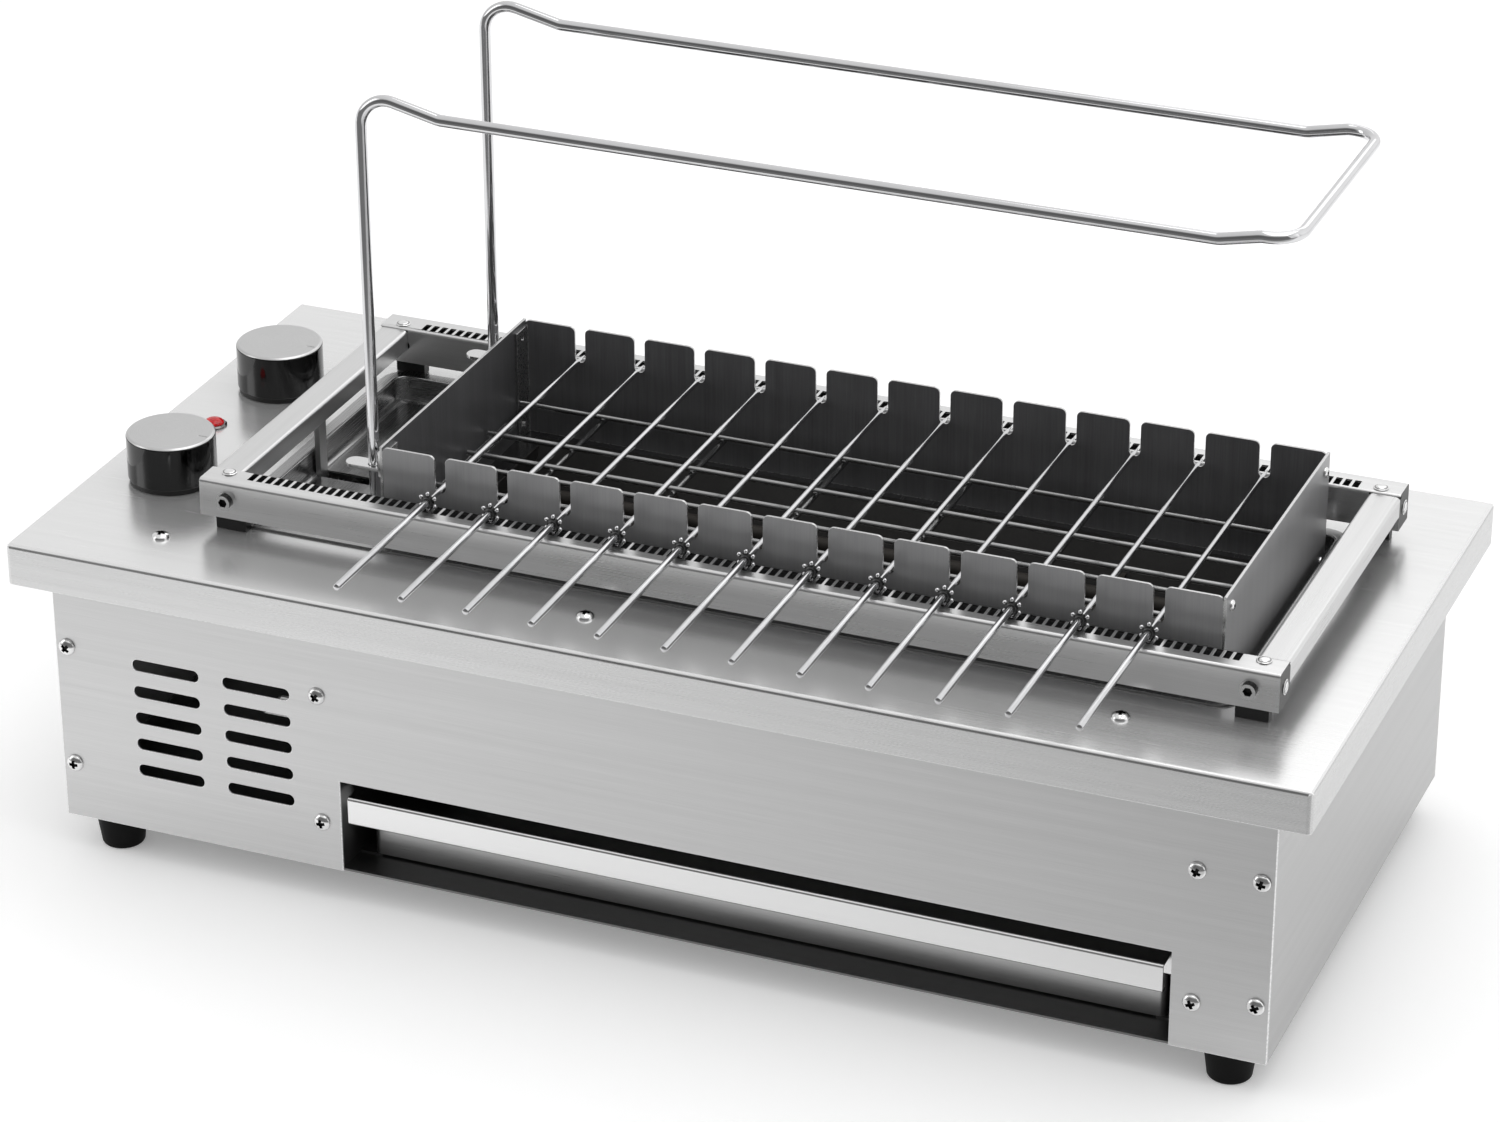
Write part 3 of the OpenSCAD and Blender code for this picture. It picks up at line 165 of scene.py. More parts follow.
class GrowTree(Tree):
    """A Geometry Nodes tree with named inputs, which ends in one painted mesh."""

    def __init__(self, name, **inputs):
        super().__init__(bpy.data.node_groups.new(name, "GeometryNodeTree"))
        face = self.tree.interface
        face.new_socket("Geometry", in_out="INPUT", socket_type="NodeSocketGeometry")
        for label, kind in inputs.items():
            face.new_socket(label, in_out="INPUT", socket_type="NodeSocket" + kind)
        face.new_socket("Finish", in_out="INPUT", socket_type="NodeSocketMaterial")
        face.new_socket("Geometry", in_out="OUTPUT", socket_type="NodeSocketGeometry")
        self.given = self.node("NodeGroupInput").outputs

    def close(self, geometry):
        real = self.node("GeometryNodeRealizeInstances", {}, {0: geometry}).outputs[0]
        painted = self.node("GeometryNodeSetMaterial", {}, {
            "Geometry": real, "Material": self.given["Finish"]}).outputs[0]
        self.node("NodeGroupOutput", {}, {0: painted})
        return self

    def grow(self, start, **values):
        """The plain mesh that the tree makes from a starting mesh."""
        holder = link("holder", start)
        modifier = holder.modifiers.new("grow", "NODES")
        modifier.node_group = self.tree
        for item in self.tree.interface.items_tree:
            if item.in_out == "INPUT" and item.name in values:
                modifier[item.identifier] = values[item.name]
        graph = bpy.context.evaluated_depsgraph_get()
        mesh = bpy.data.meshes.new_from_object(
            holder.evaluated_get(graph), preserve_all_data_layers=True, depsgraph=graph)
        bpy.data.objects.remove(holder)
        mesh.materials.clear()
        mesh.materials.append(values["Finish"])
        return outward(mesh)


def rgba(colour, gain=1.0):
    return (*(min(1.0, c * gain) for c in colour[:3]), 1.0)


def new_material(name):
    material = bpy.data.materials.new(name)
    material.use_nodes = True
    material.node_tree.nodes.clear()
    tree = Tree(material.node_tree)
    shader = tree.node("ShaderNodeBsdfPrincipled")
    out = tree.node("ShaderNodeOutputMaterial", {}, {0: shader.outputs[0]})
    out.is_active_output = True
    return material, tree, shader


def plug(tree, shader, **sockets):
    """Sets or links the shader's sockets, named in small letters with underscores."""
    for key, value in sockets.items():
        name = {"base": "Base Color", "gloss": "Specular IOR Level", "coat": "Coat Weight"}.get(
            key, key.replace("_", " ").title())
        if isinstance(value, Value):
            tree.tree.links.new(value.socket, shader.inputs[name])
        elif isinstance(value, bpy.types.NodeSocket):
            tree.tree.links.new(value, shader.inputs[name])
        else:
            shader.inputs[name].default_value = value


def bumped(tree, height, distance, strength=1.0):
    return tree.node("ShaderNodeBump", {}, {
        "Height": height, "Distance": distance, "Strength": strength}).outputs[0]


# Materials


# A brushed grain's length, as a share of its frequency across, and the wide bands' coarseness
GRAIN_STRETCH = 0.010
BAND_SHARE = 0.12


def brushed(name, colour, rough=0.28, streak=0.06, grain=2400.0, contrast=0.10, along="X",
            ends="Y", bump=0.000004, clouds=0.10, metallic=1.0):
    """Rolled sheet with fine brushing along one axis, and along another on its end faces."""
    material, tree, shader = new_material(name)
    place = tree.place()
    facing_along = tree.facing()["XYZ".index(along)].size().over(0.7)

    def stretched(axis, share):
        return [grain * share * (GRAIN_STRETCH if axis == one else 1.0) for one in "XYZ"]

    fine = [tree.noise(tree.mapped(place, stretched(a, 1.0)), 1.0, 3.0, 0.6)
            for a in (along, ends)]
    wide = [tree.noise(tree.mapped(place, stretched(a, BAND_SHARE)), 1.0, 2.0, 0.5)
            for a in (along, ends)]
    hair = fine[0] * (1 - facing_along) + fine[1] * facing_along
    band = wide[0] * (1 - facing_along) + wide[1] * facing_along
    cloud = tree.noise(place, 7.0, 3.0, 0.55)
    tone = (hair - 0.5) * 2.0 + (band - 0.5) * 1.4 + (cloud - 0.5) * clouds * 10
    plug(tree, shader,
         base=tree.mix(tone * 0.5 + 0.5, rgba(colour, 1 - contrast), rgba(colour, 1 + contrast)),
         metallic=metallic,
         roughness=rough + (hair - 0.5) * streak * 2 + (cloud - 0.5) * clouds,
         normal=bumped(tree, hair * 0.6 + band * 0.4, bump))
    return material


def cut_edge(name, colour, metallic=1.0):
    """Metal with a fine grit for sheet edges and bolt sides, in the colour that it is given: a
    light colour paints a highlight along the edges, a dark one paints shade on the bolts' sides.
    """
    material, tree, shader = new_material(name)
    grit = tree.noise(tree.place(), 1400.0, 3.0, 0.6)
    plug(tree, shader, base=tree.mix(grit, rgba(colour, 0.85), rgba(colour, 1.1)),
         metallic=metallic, roughness=0.28 + (grit - 0.5) * 0.2,
         normal=bumped(tree, grit, 0.00001))
    return material


def turned(name, colour, centre, rough, side):
    """A knob's metal: fine rings and a soft sheen round the top, upright drawing on the side,
    whose dark colour is a painted dark reflection.
    """
    material, tree, shader = new_material(name)
    place = tree.place()
    x, y, z = tree.measured_from(centre, place)
    radius = (x * x + y * y) ** 0.5
    angle = tree.value("ShaderNodeMath", {"operation": "ARCTAN2"}, {0: y, 1: x})
    rings = tree.noise(tree.node("ShaderNodeCombineXYZ", {}, {
        0: radius * 2600.0, 1: angle * 2.0, 2: 0.0}).outputs[0], 1.0, 3.0, 0.6)
    drawn = tree.noise(tree.node("ShaderNodeCombineXYZ", {}, {
        0: angle * 60.0, 1: z * 60.0, 2: 0.0}).outputs[0], 1.0, 3.0, 0.6)
    top = tree.facing()[2].over(0.6)
    cloud = tree.noise(place, 40.0, 2.0, 0.5)
    hair = rings * top + drawn * (1 - top)
    light = tree.mix((rings - 0.5) * 0.9 + (cloud - 0.5) * 0.3 + 0.5,
                     rgba(colour, 0.85), rgba(colour, 1.12))
    dark = tree.mix((drawn - 0.5) * 0.8 + 0.5, rgba(side, 0.7), rgba(side, 1.4))
    plug(tree, shader, base=tree.mix(top, dark, light), metallic=1.0,
         roughness=(1 - top) * 0.10 + top * rough + (hair - 0.5) * 0.08,
         normal=bumped(tree, hair, 0.000004))
    return material


def polished(name, colour, rough=0.08, grime=0.05, shade_colour=(0.05, 0.05, 0.05)):
    """Bright rod or screw metal with faint marks, duller and darkened where the mesh carries
    painted shade.
    """
    material, tree, shader = new_material(name)
    place = tree.place()
    cloud = tree.noise(place, 60.0, 4.0, 0.6)
    speck = tree.noise(place, 900.0, 2.0, 0.5)
    painted_shade = tree.mark("painted_shade")
    clean = tree.mix(cloud, rgba(colour, 0.9), rgba(colour, 1.06))
    plug(tree, shader, base=tree.mix(painted_shade, clean, rgba(shade_colour)), metallic=1.0,
         roughness=rough + cloud * grime + (speck - 0.5) * 0.03 + painted_shade * 0.25,
         normal=bumped(tree, speck, 0.000003))
    return material


def dark_sheet(name, outer, inner_shade, middle, rough=0.38, metallic=0.6):
    """Heat-toned sheet, finely drawn upright: mid grey outside, and charcoal as painted shade on
    the faces that turn into the box.
    """
    material, tree, shader = new_material(name)
    place = tree.place()
    hair = tree.noise(tree.mapped(place, (1100, 1100, 30)), 1.0, 3.0, 0.6)
    band = tree.noise(tree.mapped(place, (150, 150, 6)), 1.0, 2.0, 0.5)
    cloud = tree.noise(place, 18.0, 4.0, 0.6)
    x, y, _ = tree.measured_from(middle, place)
    face_x, face_y, _ = tree.facing()
    # Faces turned into the box, and flat faces, take the inner colour as painted shade.
    inside = 1 - (x * face_x + y * face_y).over(0.0)
    tone = (hair - 0.5) * 0.8 + (band - 0.5) * 0.5 + (cloud - 0.5) * 0.7 + 0.5
    light = tree.mix(tone, rgba(outer, 0.84), rgba(outer, 1.16))
    dark = tree.mix(tone, rgba(inner_shade, 0.7), rgba(inner_shade, 1.35))
    plug(tree, shader, base=tree.mix(inside, light, dark), metallic=metallic,
         roughness=rough + (hair - 0.5) * 0.10 + (cloud - 0.5) * 0.14 + inside * 0.06,
         normal=bumped(tree, hair, 0.000006))
    return material


def moulded(name, colour, rough=0.5, grain=1500.0, depth=0.00002, gloss=0.25):
    """Moulded plastic or rubber with a fine spark-eroded grain."""
    material, tree, shader = new_material(name)
    place = tree.place()
    fine = tree.noise(place, grain, 3.0, 0.6)
    cloud = tree.noise(place, 35.0, 3.0, 0.5)
    plug(tree, shader, base=tree.mix(cloud, rgba(colour, 0.8), rgba(colour, 1.3)),
         roughness=rough + (cloud - 0.5) * 0.2 + (fine - 0.5) * 0.1, gloss=gloss,
         normal=bumped(tree, fine, depth))
    return material


def lens(name, colour):
    """Clear red plastic over a fine faceted pattern."""
    material, tree, shader = new_material(name)
    cells = tree.value("ShaderNodeTexVoronoi", {}, {"Vector": tree.place(), "Scale": 700.0})
    plug(tree, shader, base=tree.mix(cells, rgba(colour, 1.1), rgba(colour, 0.45)),
         roughness=0.16 + cells * 0.1, coat=0.15,
         emission_color=tree.mix(cells, rgba(colour), rgba(colour, 0.4)),
         emission_strength=0.2)
    return material


# Sizes and colours that a user would change


class StageSettings(bpy.types.PropertyGroup):
    floor: bpy.props.FloatVectorProperty(
        name="Floor", description="Colour of the floor", subtype="COLOR", size=3,
        default=(0.95, 0.95, 0.95))
    key: bpy.props.FloatProperty(
        name="Key light", description="Power of the large top light", default=14.0,
        subtype="POWER")
    fill: bpy.props.FloatProperty(
        name="Fill light", description="Power of the side lights", default=7.0,
        subtype="POWER")
    sky: bpy.props.FloatProperty(
        name="Room light", description="Strength of the room's even light", default=0.74,
        subtype="FACTOR")


class MetalSettings(bpy.types.PropertyGroup):
    panel: bpy.props.FloatVectorProperty(
        name="Panels", description="Colour of the cabinet's sheet", subtype="COLOR", size=3,
        default=(0.60, 0.60, 0.60))
    plate: bpy.props.FloatVectorProperty(
        name="Plate", description="Colour of the top plate", subtype="COLOR", size=3,
        default=(0.80, 0.80, 0.80))
    rail: bpy.props.FloatVectorProperty(
        name="Rails", description="Colour of the slotted frame", subtype="COLOR", size=3,
        default=(0.72, 0.72, 0.72))
    outside: bpy.props.FloatVectorProperty(
        name="Box outside", description="Colour of the skewer box outside", subtype="COLOR",
        size=3, default=(0.32, 0.32, 0.325))
    # The box's inside colour is painted shade on the faces turned into the box.
    inside: bpy.props.FloatVectorProperty(
        name="Box inside", description="Colour of the skewer box inside", subtype="COLOR",
        size=3, default=(0.13, 0.13, 0.134))
    chrome: bpy.props.FloatVectorProperty(
        name="Chrome", description="Colour of the rack's rod", subtype="COLOR", size=3,
        default=(0.68, 0.68, 0.69))
    edge: bpy.props.FloatProperty(
        name="Edge radius", description="Rounding of sheet edges", subtype="DISTANCE",
        default=0.0004)


class RodSettings(bpy.types.PropertyGroup):
    rod: bpy.props.FloatProperty(
        name="Rod radius", description="Radius of the rack's rod", subtype="DISTANCE",
        default=0.003)
    bend: bpy.props.FloatProperty(
        name="Bend radius", description="Radius of the rack's bends", subtype="DISTANCE",
        default=0.015)
    sides: bpy.props.IntProperty(
        name="Rod sides", description="Faces round a rod", default=24)
    pins: bpy.props.IntProperty(
        name="Pins", description="Pins round a skewer's gear", default=6)
    cross: bpy.props.FloatProperty(
        name="Cross width", description="Width of the cross in a screw's head",
        subtype="DISTANCE", default=0.0022)


# Making and finishing pieces


def link(name, data):
    made = bpy.data.objects.new(name, data)
    bpy.context.scene.collection.objects.link(made)
    return made


def outward(mesh, sharp=40.0):
    """Merges a closed mesh, turns its faces outwards and shades it smooth but for its edges."""
    shape = bmesh.new()
    shape.from_mesh(mesh)
    bmesh.ops.remove_doubles(shape, verts=shape.verts, dist=0.000002)
    bmesh.ops.recalc_face_normals(shape, faces=shape.faces)
    shape.to_mesh(mesh)
    shape.free()
    mesh.shade_smooth()
    mesh.set_sharp_from_angle(angle=math.radians(sharp))
    return mesh


# Corners nearer than this are one corner
SAME_PLACE = 0.00001


def merged(node):
    """A copy of a CAD node's mesh with its doubles merged and its flat faces joined."""
    mesh = NODES[node].data.copy()
    shape = bmesh.new()
    shape.from_mesh(mesh)
    bmesh.ops.remove_doubles(shape, verts=shape.verts, dist=SAME_PLACE)
    bmesh.ops.dissolve_limit(shape, angle_limit=math.radians(0.6), verts=shape.verts,
                             edges=shape.edges)
    shape.to_mesh(mesh)
    shape.free()
    if mesh.has_custom_normals and "custom_normal" in mesh.attributes:
        mesh.attributes.remove(mesh.attributes["custom_normal"])
    return mesh


def settled(piece, node, *more):
    """Puts a piece on its body in place of its nodes."""
    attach(piece, BODY_OF[node])
    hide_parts(node, *more)
    return piece


def dressed(node, finishes, edge=None, choose=None, edge_finish=-1):
    """A CAD node's shape with rounded edges and its finishes, in place of the node."""
    mesh = merged(node)
    mesh.materials.clear()
    for finish in finishes if isinstance(finishes, tuple) else (finishes,):
        mesh.materials.append(finish)
    for face in mesh.polygons:
        corners = [mesh.vertices[i].co for i in face.vertices]
        face.material_index = choose(face, corners) if choose else 0
    mesh.shade_smooth()
    if not edge:
        mesh.set_sharp_from_angle(angle=math.radians(30))
    piece = link(node + "_finish", mesh)
    if edge:
        bevel = piece.modifiers.new("edge", "BEVEL")
        bevel.width = edge
        bevel.segments = 2
        bevel.limit_method = "ANGLE"
        bevel.angle_limit = math.radians(35)
        bevel.use_clamp_overlap = False
        bevel.material = edge_finish
        flat = piece.modifiers.new("flat", "WEIGHTED_NORMAL")
        flat.weight = 100
        flat.keep_sharp = True
    return settled(piece, node)


def in_channel(node, axis):
    """Tells the faces inside a folded channel, whose width lies along an axis; these take painted
    shade.
    """
    low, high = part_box(node)
    skin = 0.7 * MM
    lip = 2.0 * MM

    def inside(face, corners):
        across, rise = face.center[axis], face.center.z
        return int(low[axis] + skin < across < high[axis] - skin
                   and low.z + lip < rise < high.z - skin)

    return inside


def lumps(node):
    """Lowest and highest corner of each separate lump of a CAD node, in a fixed order."""
    shape = bmesh.new()
    shape.from_mesh(NODES[node].data)
    bmesh.ops.remove_doubles(shape, verts=shape.verts, dist=SAME_PLACE)
    left = set(shape.verts)
    found = []
    for start in shape.verts:
        if start not in left:
            continue
        left.discard(start)
        queue = [start]
        group = []
        while queue:
            one = queue.pop()
            group.append(one.co.copy())
            for edge in one.link_edges:
                other = edge.other_vert(one)
                if other in left:
                    left.discard(other)
                    queue.append(other)
        low = Vector([min(c[i] for c in group) for i in range(3)])
        high = Vector([max(c[i] for c in group) for i in range(3)])
        found.append((low, high))
    shape.free()
    return sorted(found, key=lambda b: [round(v, 5) for v in b[0]])


def lathe(profile, sides):
    """A closed mesh turned round Z from points of radius, height and painted shade."""
    shape = bmesh.new()
    mark = shape.verts.layers.float.new("painted_shade")
    rows = []
    for point in profile:
        radius, height = point[:2]
        shade_amount = point[2] if len(point) > 2 else 0.0
        ring = 1 if radius < 1e-9 else sides
        row = []
        for i in range(ring):
            turn = 2 * math.pi * i / sides
            vert = shape.verts.new((radius * math.cos(turn), radius * math.sin(turn), height))
            vert[mark] = shade_amount
            row.append(vert)
        rows.append(row)
    for low, high in zip(rows, rows[1:]):
        for i in range(sides):
            corners = [low[i % len(low)], low[(i + 1) % len(low)],
                       high[(i + 1) % len(high)], high[i % len(high)]]
            face = list(dict.fromkeys(corners))
            if len(face) > 2:
                shape.faces.new(face)
    mesh = bpy.data.meshes.new("lathe")
    shape.to_mesh(mesh)
    shape.free()
    return outward(mesh)


# Stage


# Half the floor's side, and the light it gives the camera and the metal, so that it lies white
FLOOR_REACH = 30.0
FLOOR_GLOW = 0.20
# Metal sees the floor dark from these distances in front, and half dark towards its right end
FRONT_ZONE, FRONT_DARK = (0.52, 0.70), 0.85
RIGHT_ZONE, NEAR_ZONE, RIGHT_DARK = (-0.4, 0.5), (0.1, 0.3), 0.5


def make_floor(colour):
    """A pale floor that the camera sees nearly white, and whose front the metal sees dark."""
    reach = FLOOR_REACH
    mesh = bpy.data.meshes.new("floor")
    mesh.from_pydata([(-reach, -reach, 0), (reach, -reach, 0), (reach, reach, 0),
                      (-reach, reach, 0)], [], [(0, 1, 2, 3)])
    floor = link("floor", mesh)
    material, tree, shader = new_material("floor")
    place = tree.place()
    cloud = tree.noise(place, 1.5, 2.0, 0.5)
    rays = tree.node("ShaderNodeLightPath")
    camera, glossy, clear = (Value(tree, rays.outputs["Is " + kind + " Ray"])
                             for kind in ("Camera", "Glossy", "Transmission"))
    x, y, _ = tree.parts(place)
    front = (0 - y).ramp(*FRONT_ZONE)
    right = x.ramp(*RIGHT_ZONE) * (0 - y).ramp(*NEAR_ZONE)
    dark = glossy * (front * FRONT_DARK + (1 - front) * right * RIGHT_DARK)
    plain = tree.mix(cloud, rgba(colour, 0.995), rgba(colour, 1.005))
    lit = camera + clear + glossy * (1 - dark)
    plug(tree, shader, base=tree.mix(dark, plain, (0.02, 0.02, 0.02, 1.0)),
         roughness=0.75 + (cloud - 0.5) * 0.02,
         emission_color=tree.mix(lit, (0.0, 0.0, 0.0, 1.0), (FLOOR_GLOW,) * 3 + (1.0,)),
         emission_strength=1.0)
    mesh.materials.append(material)


# The room in the metal: its level, its rise to the right, and its dark side behind the camera
ROOM_LEVEL, ROOM_RISE = 0.92, 0.22
BEHIND_ZONE, ABOVE_ZONE, BEHIND_DARK = (0.05, 0.55), (0.55, 0.85), 0.82


def make_world(sky):
    """A white room whose side behind the camera is dark, as polished metal shows it."""
    world = bpy.data.worlds.new("studio")
    bpy.context.scene.world = world
    world.use_nodes = True
    world.node_tree.nodes.clear()
    tree = Tree(world.node_tree)
    rays = tree.node("ShaderNodeLightPath")
    camera = Value(tree, rays.outputs["Is Camera Ray"])
    glossy = Value(tree, rays.outputs["Is Glossy Ray"]) + Value(
        tree, rays.outputs["Is Transmission Ray"])
    x, y, z = tree.parts(tree.node("ShaderNodeTexCoord").outputs["Generated"])
    side = math.radians(CAMERA_TURN[0])
    towards = x * math.sin(side) - y * math.cos(side)
    right = x * math.cos(side) + y * math.sin(side)
    dark = towards.ramp(*BEHIND_ZONE) * (1 - z.ramp(*ABOVE_ZONE))
    seen = (right * ROOM_RISE + ROOM_LEVEL) * (1 - dark * BEHIND_DARK)
    strength = camera + (1 - camera) * (glossy * seen + (1 - glossy) * sky)
    tree.node("ShaderNodeOutputWorld", {}, {0: tree.node("ShaderNodeBackground", {}, {
        "Color": (1, 1, 1, 1), "Strength": strength}).outputs[0]})


def make_lamps(key, fill):
    """Soft panels: name, place, the point each looks at, its sides and its power."""
    lamps = [
        ("top_panel", (0.5, 0.2, 2.4), (0.0, 0.0, 0.1), (2.4, 1.6), key),
        ("left_panel", (-2.2, -1.0, 1.2), (0.0, 0.0, 0.1), (1.0, 1.8), fill),
        ("right_panel", (2.3, -0.4, 1.1), (0.0, 0.0, 0.1), (1.2, 1.6), fill * 0.6),
        ("back_panel", (0.15, 1.95, 1.62), (0.3, -0.1, 0.2), (1.3, 0.7), fill * 0.25),
    ]
    for name, place, aim, size, power in lamps:
        data = bpy.data.lights.new(name, "AREA")
        data.shape = "RECTANGLE"
        data.size, data.size_y = size
        data.energy = power
        lamp = link(name, data)
        lamp.location = place
        lamp.rotation_euler = (Vector(aim) - Vector(place)).to_track_quat("-Z", "Y").to_euler()


# The photograph's camera, found from points on the plate and the cabinet: its place in
# millimetres, and its turn to the side, its rise and its roll in degrees
CAMERA_PLACE = (863.70, -2089.38, 1299.51)
CAMERA_TURN = (22.3442, 26.5739, -0.1446)
FOCAL_PIXELS = 4882.63
IMAGE_WIDTH = 1500.0
SENSOR = 36.0


def make_camera():
    data = bpy.data.cameras.new("camera")
    data.sensor_width = SENSOR
    data.lens = FOCAL_PIXELS / IMAGE_WIDTH * SENSOR
    data.clip_end = 100.0
    camera = link("camera", data)
    side, rise, roll = (math.radians(v) for v in CAMERA_TURN)
    back = Vector((math.sin(side) * math.cos(rise), -math.cos(side) * math.cos(rise),
                   math.sin(rise)))
    right = Vector((0, 0, 1)).cross(back).normalized()
    up = back.cross(right)
    turned_right = math.cos(roll) * right + math.sin(roll) * up
    turned_up = math.cos(roll) * up - math.sin(roll) * right
    turn = Matrix((turned_right, turned_up, back)).transposed()
    camera.matrix_world = Matrix.Translation(Vector(CAMERA_PLACE) * MM) @ turn.to_4x4()
    bpy.context.scene.camera = camera


class MakeStage(bpy.types.Operator):
    """Floor, white room, soft lights and the camera at the photograph's angle"""
    bl_idname = "grill.stage"
    bl_label = "Stage"

    def execute(self, context):
        look = context.scene.grill_stage
        make_floor(look.floor)
        make_world(look.sky)
        make_lamps(look.key, look.fill)
        make_camera()
        context.scene.view_settings.view_transform = "Standard"
        return {"FINISHED"}


# Sheet metal


def plate_face(face, corners):
    """0 on the plate's flat faces, 1 on its front and rear lip, 2 on its end lips; the lips take
    darker copies of the steel as painted shade.
    """
    if abs(face.normal.z) > 0.5:
        return 0
    return 1 if abs(face.normal.y) > 0.5 else 2


class DressCabinet(bpy.types.Operator):
    """Brushed panels, top plate, base and partitions"""
    bl_idname = "grill.cabinet"
    bl_label = "Cabinet"

    def execute(self, context):
        look = context.scene.grill_metal
        panel = brushed("panel_steel", look.panel, 0.33)
        # The side panels take a darker copy of the panel steel as painted shade.
        side = brushed("side_panel_painted_shade", rgba(look.panel, 0.74), 0.34, along="Y", ends="X")
        plate = brushed("plate_steel", look.plate, 0.24, contrast=0.05, metallic=0.72)
        plain = brushed("plain_steel", rgba(look.panel, 0.3), 0.42)
        # The rounded edges of the panels and the plate take a near-white steel as a painted
        # highlight.
        rim = cut_edge("edge_highlight_steel", (0.95, 0.95, 0.95), 0.3)
        for node in ("front_panel", "rear_panel"):
            dressed(node, (panel, rim), look.edge, None, 1)
        for node in ("left_side_panel", "right_side_panel"):
            dressed(node, (side, rim), look.edge, None, 1)
        # The plate's lips are the same sheet as its top, coloured darker as painted shade.
        lip = brushed("lip_painted_shade", rgba(look.panel, 1.08), 0.28)
        end_lip = brushed("end_lip_painted_shade", rgba(look.panel, 0.92), 0.28, along="Y", ends="X")
        dressed("top_plate", (plate, lip, end_lip, rim), look.edge, plate_face, 3)
        for node in ("base_plate", "left_partition", "right_partition", "drawer_runners"):
            dressed(node, plain)
        return {"FINISHED"}


class DressFrame(bpy.types.Operator):
    """Slotted rails, cross bars and the drive under them"""
    bl_idname = "grill.frame"
    bl_label = "Slotted frame"

    def execute(self, context):
        look = context.scene.grill_metal
        rail = brushed("rail_steel", look.rail, 0.3, contrast=0.08, bump=0.000002)
        bar = brushed("bar_steel", rgba(look.rail, 0.95), 0.3, along="Y", ends="X",
                      contrast=0.08, bump=0.000002)
        plain = brushed("drive_steel", rgba(look.panel, 0.75), 0.38)
        # The faces inside the channels take a near-black copy of the rail steel as painted shade.
        shade = brushed("channel_inside_painted_shade", rgba(look.rail, 0.16), 0.5)
        for node in ("front_rail", "rear_rail"):
            dressed(node, (rail, shade), look.edge / 2, in_channel(node, 1))
        for node in ("left_bar", "right_bar"):
            dressed(node, (bar, shade), look.edge / 2, in_channel(node, 0))
        for node in ("drive_rack", "drive_pinion", "gear_motor"):
            dressed(node, plain)
        return {"FINISHED"}


class DressDrawer(bpy.types.Operator):
    """Drip drawer and its folded handle"""
    bl_idname = "grill.drawer"
    bl_label = "Drip drawer"

    def execute(self, context):
        look = context.scene.grill_metal
        dressed("drip_drawer", brushed("drawer_steel", rgba(look.panel, 0.9), 0.3))
        handle = brushed("handle_steel", (0.88, 0.88, 0.88), 0.18, contrast=0.04)
        dressed("drawer_handle", handle, look.edge / 2)
        return {"FINISHED"}


def notch_edge(foot):
    """Tells a notched plate's cut edges, from a little over its foot, which take a painted
    highlight.
    """
    def bare(face, corners):
        return int(abs(face.normal.y) < 0.6 and face.center.z > foot + 20 * MM)

    return bare


def end_edge(top, middle):
    """Tells an end plate's top edge, and its upright edges at the box's corners, which take a
    painted highlight.
    """
    def bare(face, corners):
        upper = abs(face.normal.x) < 0.6 and face.center.z > top - 1 * MM
        upright = abs(face.normal.y) > 0.8 and abs(face.center.y - middle) > 80 * MM
        return int(upper or upright)

    return bare


class DressBox(bpy.types.Operator):
    """Well, dark notched box with painted shade inside and a painted highlight on its cut edges,
    heat reflector and heating elements
    """
    bl_idname = "grill.box"
    bl_label = "Box and heater"

    def execute(self, context):
        look = context.scene.grill_metal
        low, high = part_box("front_notched_plate")
        middle = (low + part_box("rear_notched_plate")[1]) / 2
        dark = dark_sheet("box_steel", look.outside, look.inside, middle)
        # The box's cut edges and corners take a lighter steel as a painted highlight.
        edge = cut_edge("box_edge_highlight", (0.62, 0.62, 0.62))
        for node in ("front_notched_plate", "rear_notched_plate"):
            dressed(node, (dark, edge), look.edge / 2, notch_edge(low.z), 1)
        for node in ("left_end_plate", "right_end_plate"):
            dressed(node, (dark, edge), look.edge / 2, end_edge(high.z, middle.y), 1)
        well = brushed("well_steel", (0.36, 0.36, 0.36), 0.26, contrast=0.06, along="Y",
                       ends="X")
        reflector = dark_sheet("reflector_steel", (0.12, 0.12, 0.12), (0.035, 0.034, 0.033),
                               middle, 0.5)
        sheath = dark_sheet("element_sheath", (0.05, 0.045, 0.04), (0.05, 0.045, 0.04),
                            middle, 0.6, 0.5)
        bracket = brushed("bracket_steel", (0.7, 0.7, 0.7), 0.2, contrast=0.05)
        dressed("well_liner", well, look.edge / 2)
        dressed("heat_reflector", reflector)
        dressed("heating_elements", sheath)
        dressed("rack_eyelets", bracket, look.edge / 2)
        dressed("rack_sockets", bracket)
        return {"FINISHED"}


# Rods and fasteners


def rod_tree():
    """A round rod along a bent path, its corners bent to one radius."""
    tree = GrowTree("bent_rod", Radius="Float", Bend="Float", Sides="Int")
    path = tree.node("GeometryNodeMeshToCurve", {}, {"Mesh": tree.given["Geometry"]})
    round_path = tree.node("GeometryNodeFilletCurve", {"mode": "POLY"}, {
        "Curve": path.outputs[0], "Count": 12, "Radius": tree.given["Bend"]})
    ring = tree.node("GeometryNodeCurvePrimitiveCircle", {"mode": "RADIUS"}, {
        "Resolution": tree.given["Sides"], "Radius": tree.given["Radius"]})
    tube = tree.node("GeometryNodeCurveToMesh", {}, {
        "Curve": round_path.outputs[0], "Profile Curve": ring.outputs[0], "Fill Caps": True})
    return tree.close(tube.outputs[0])


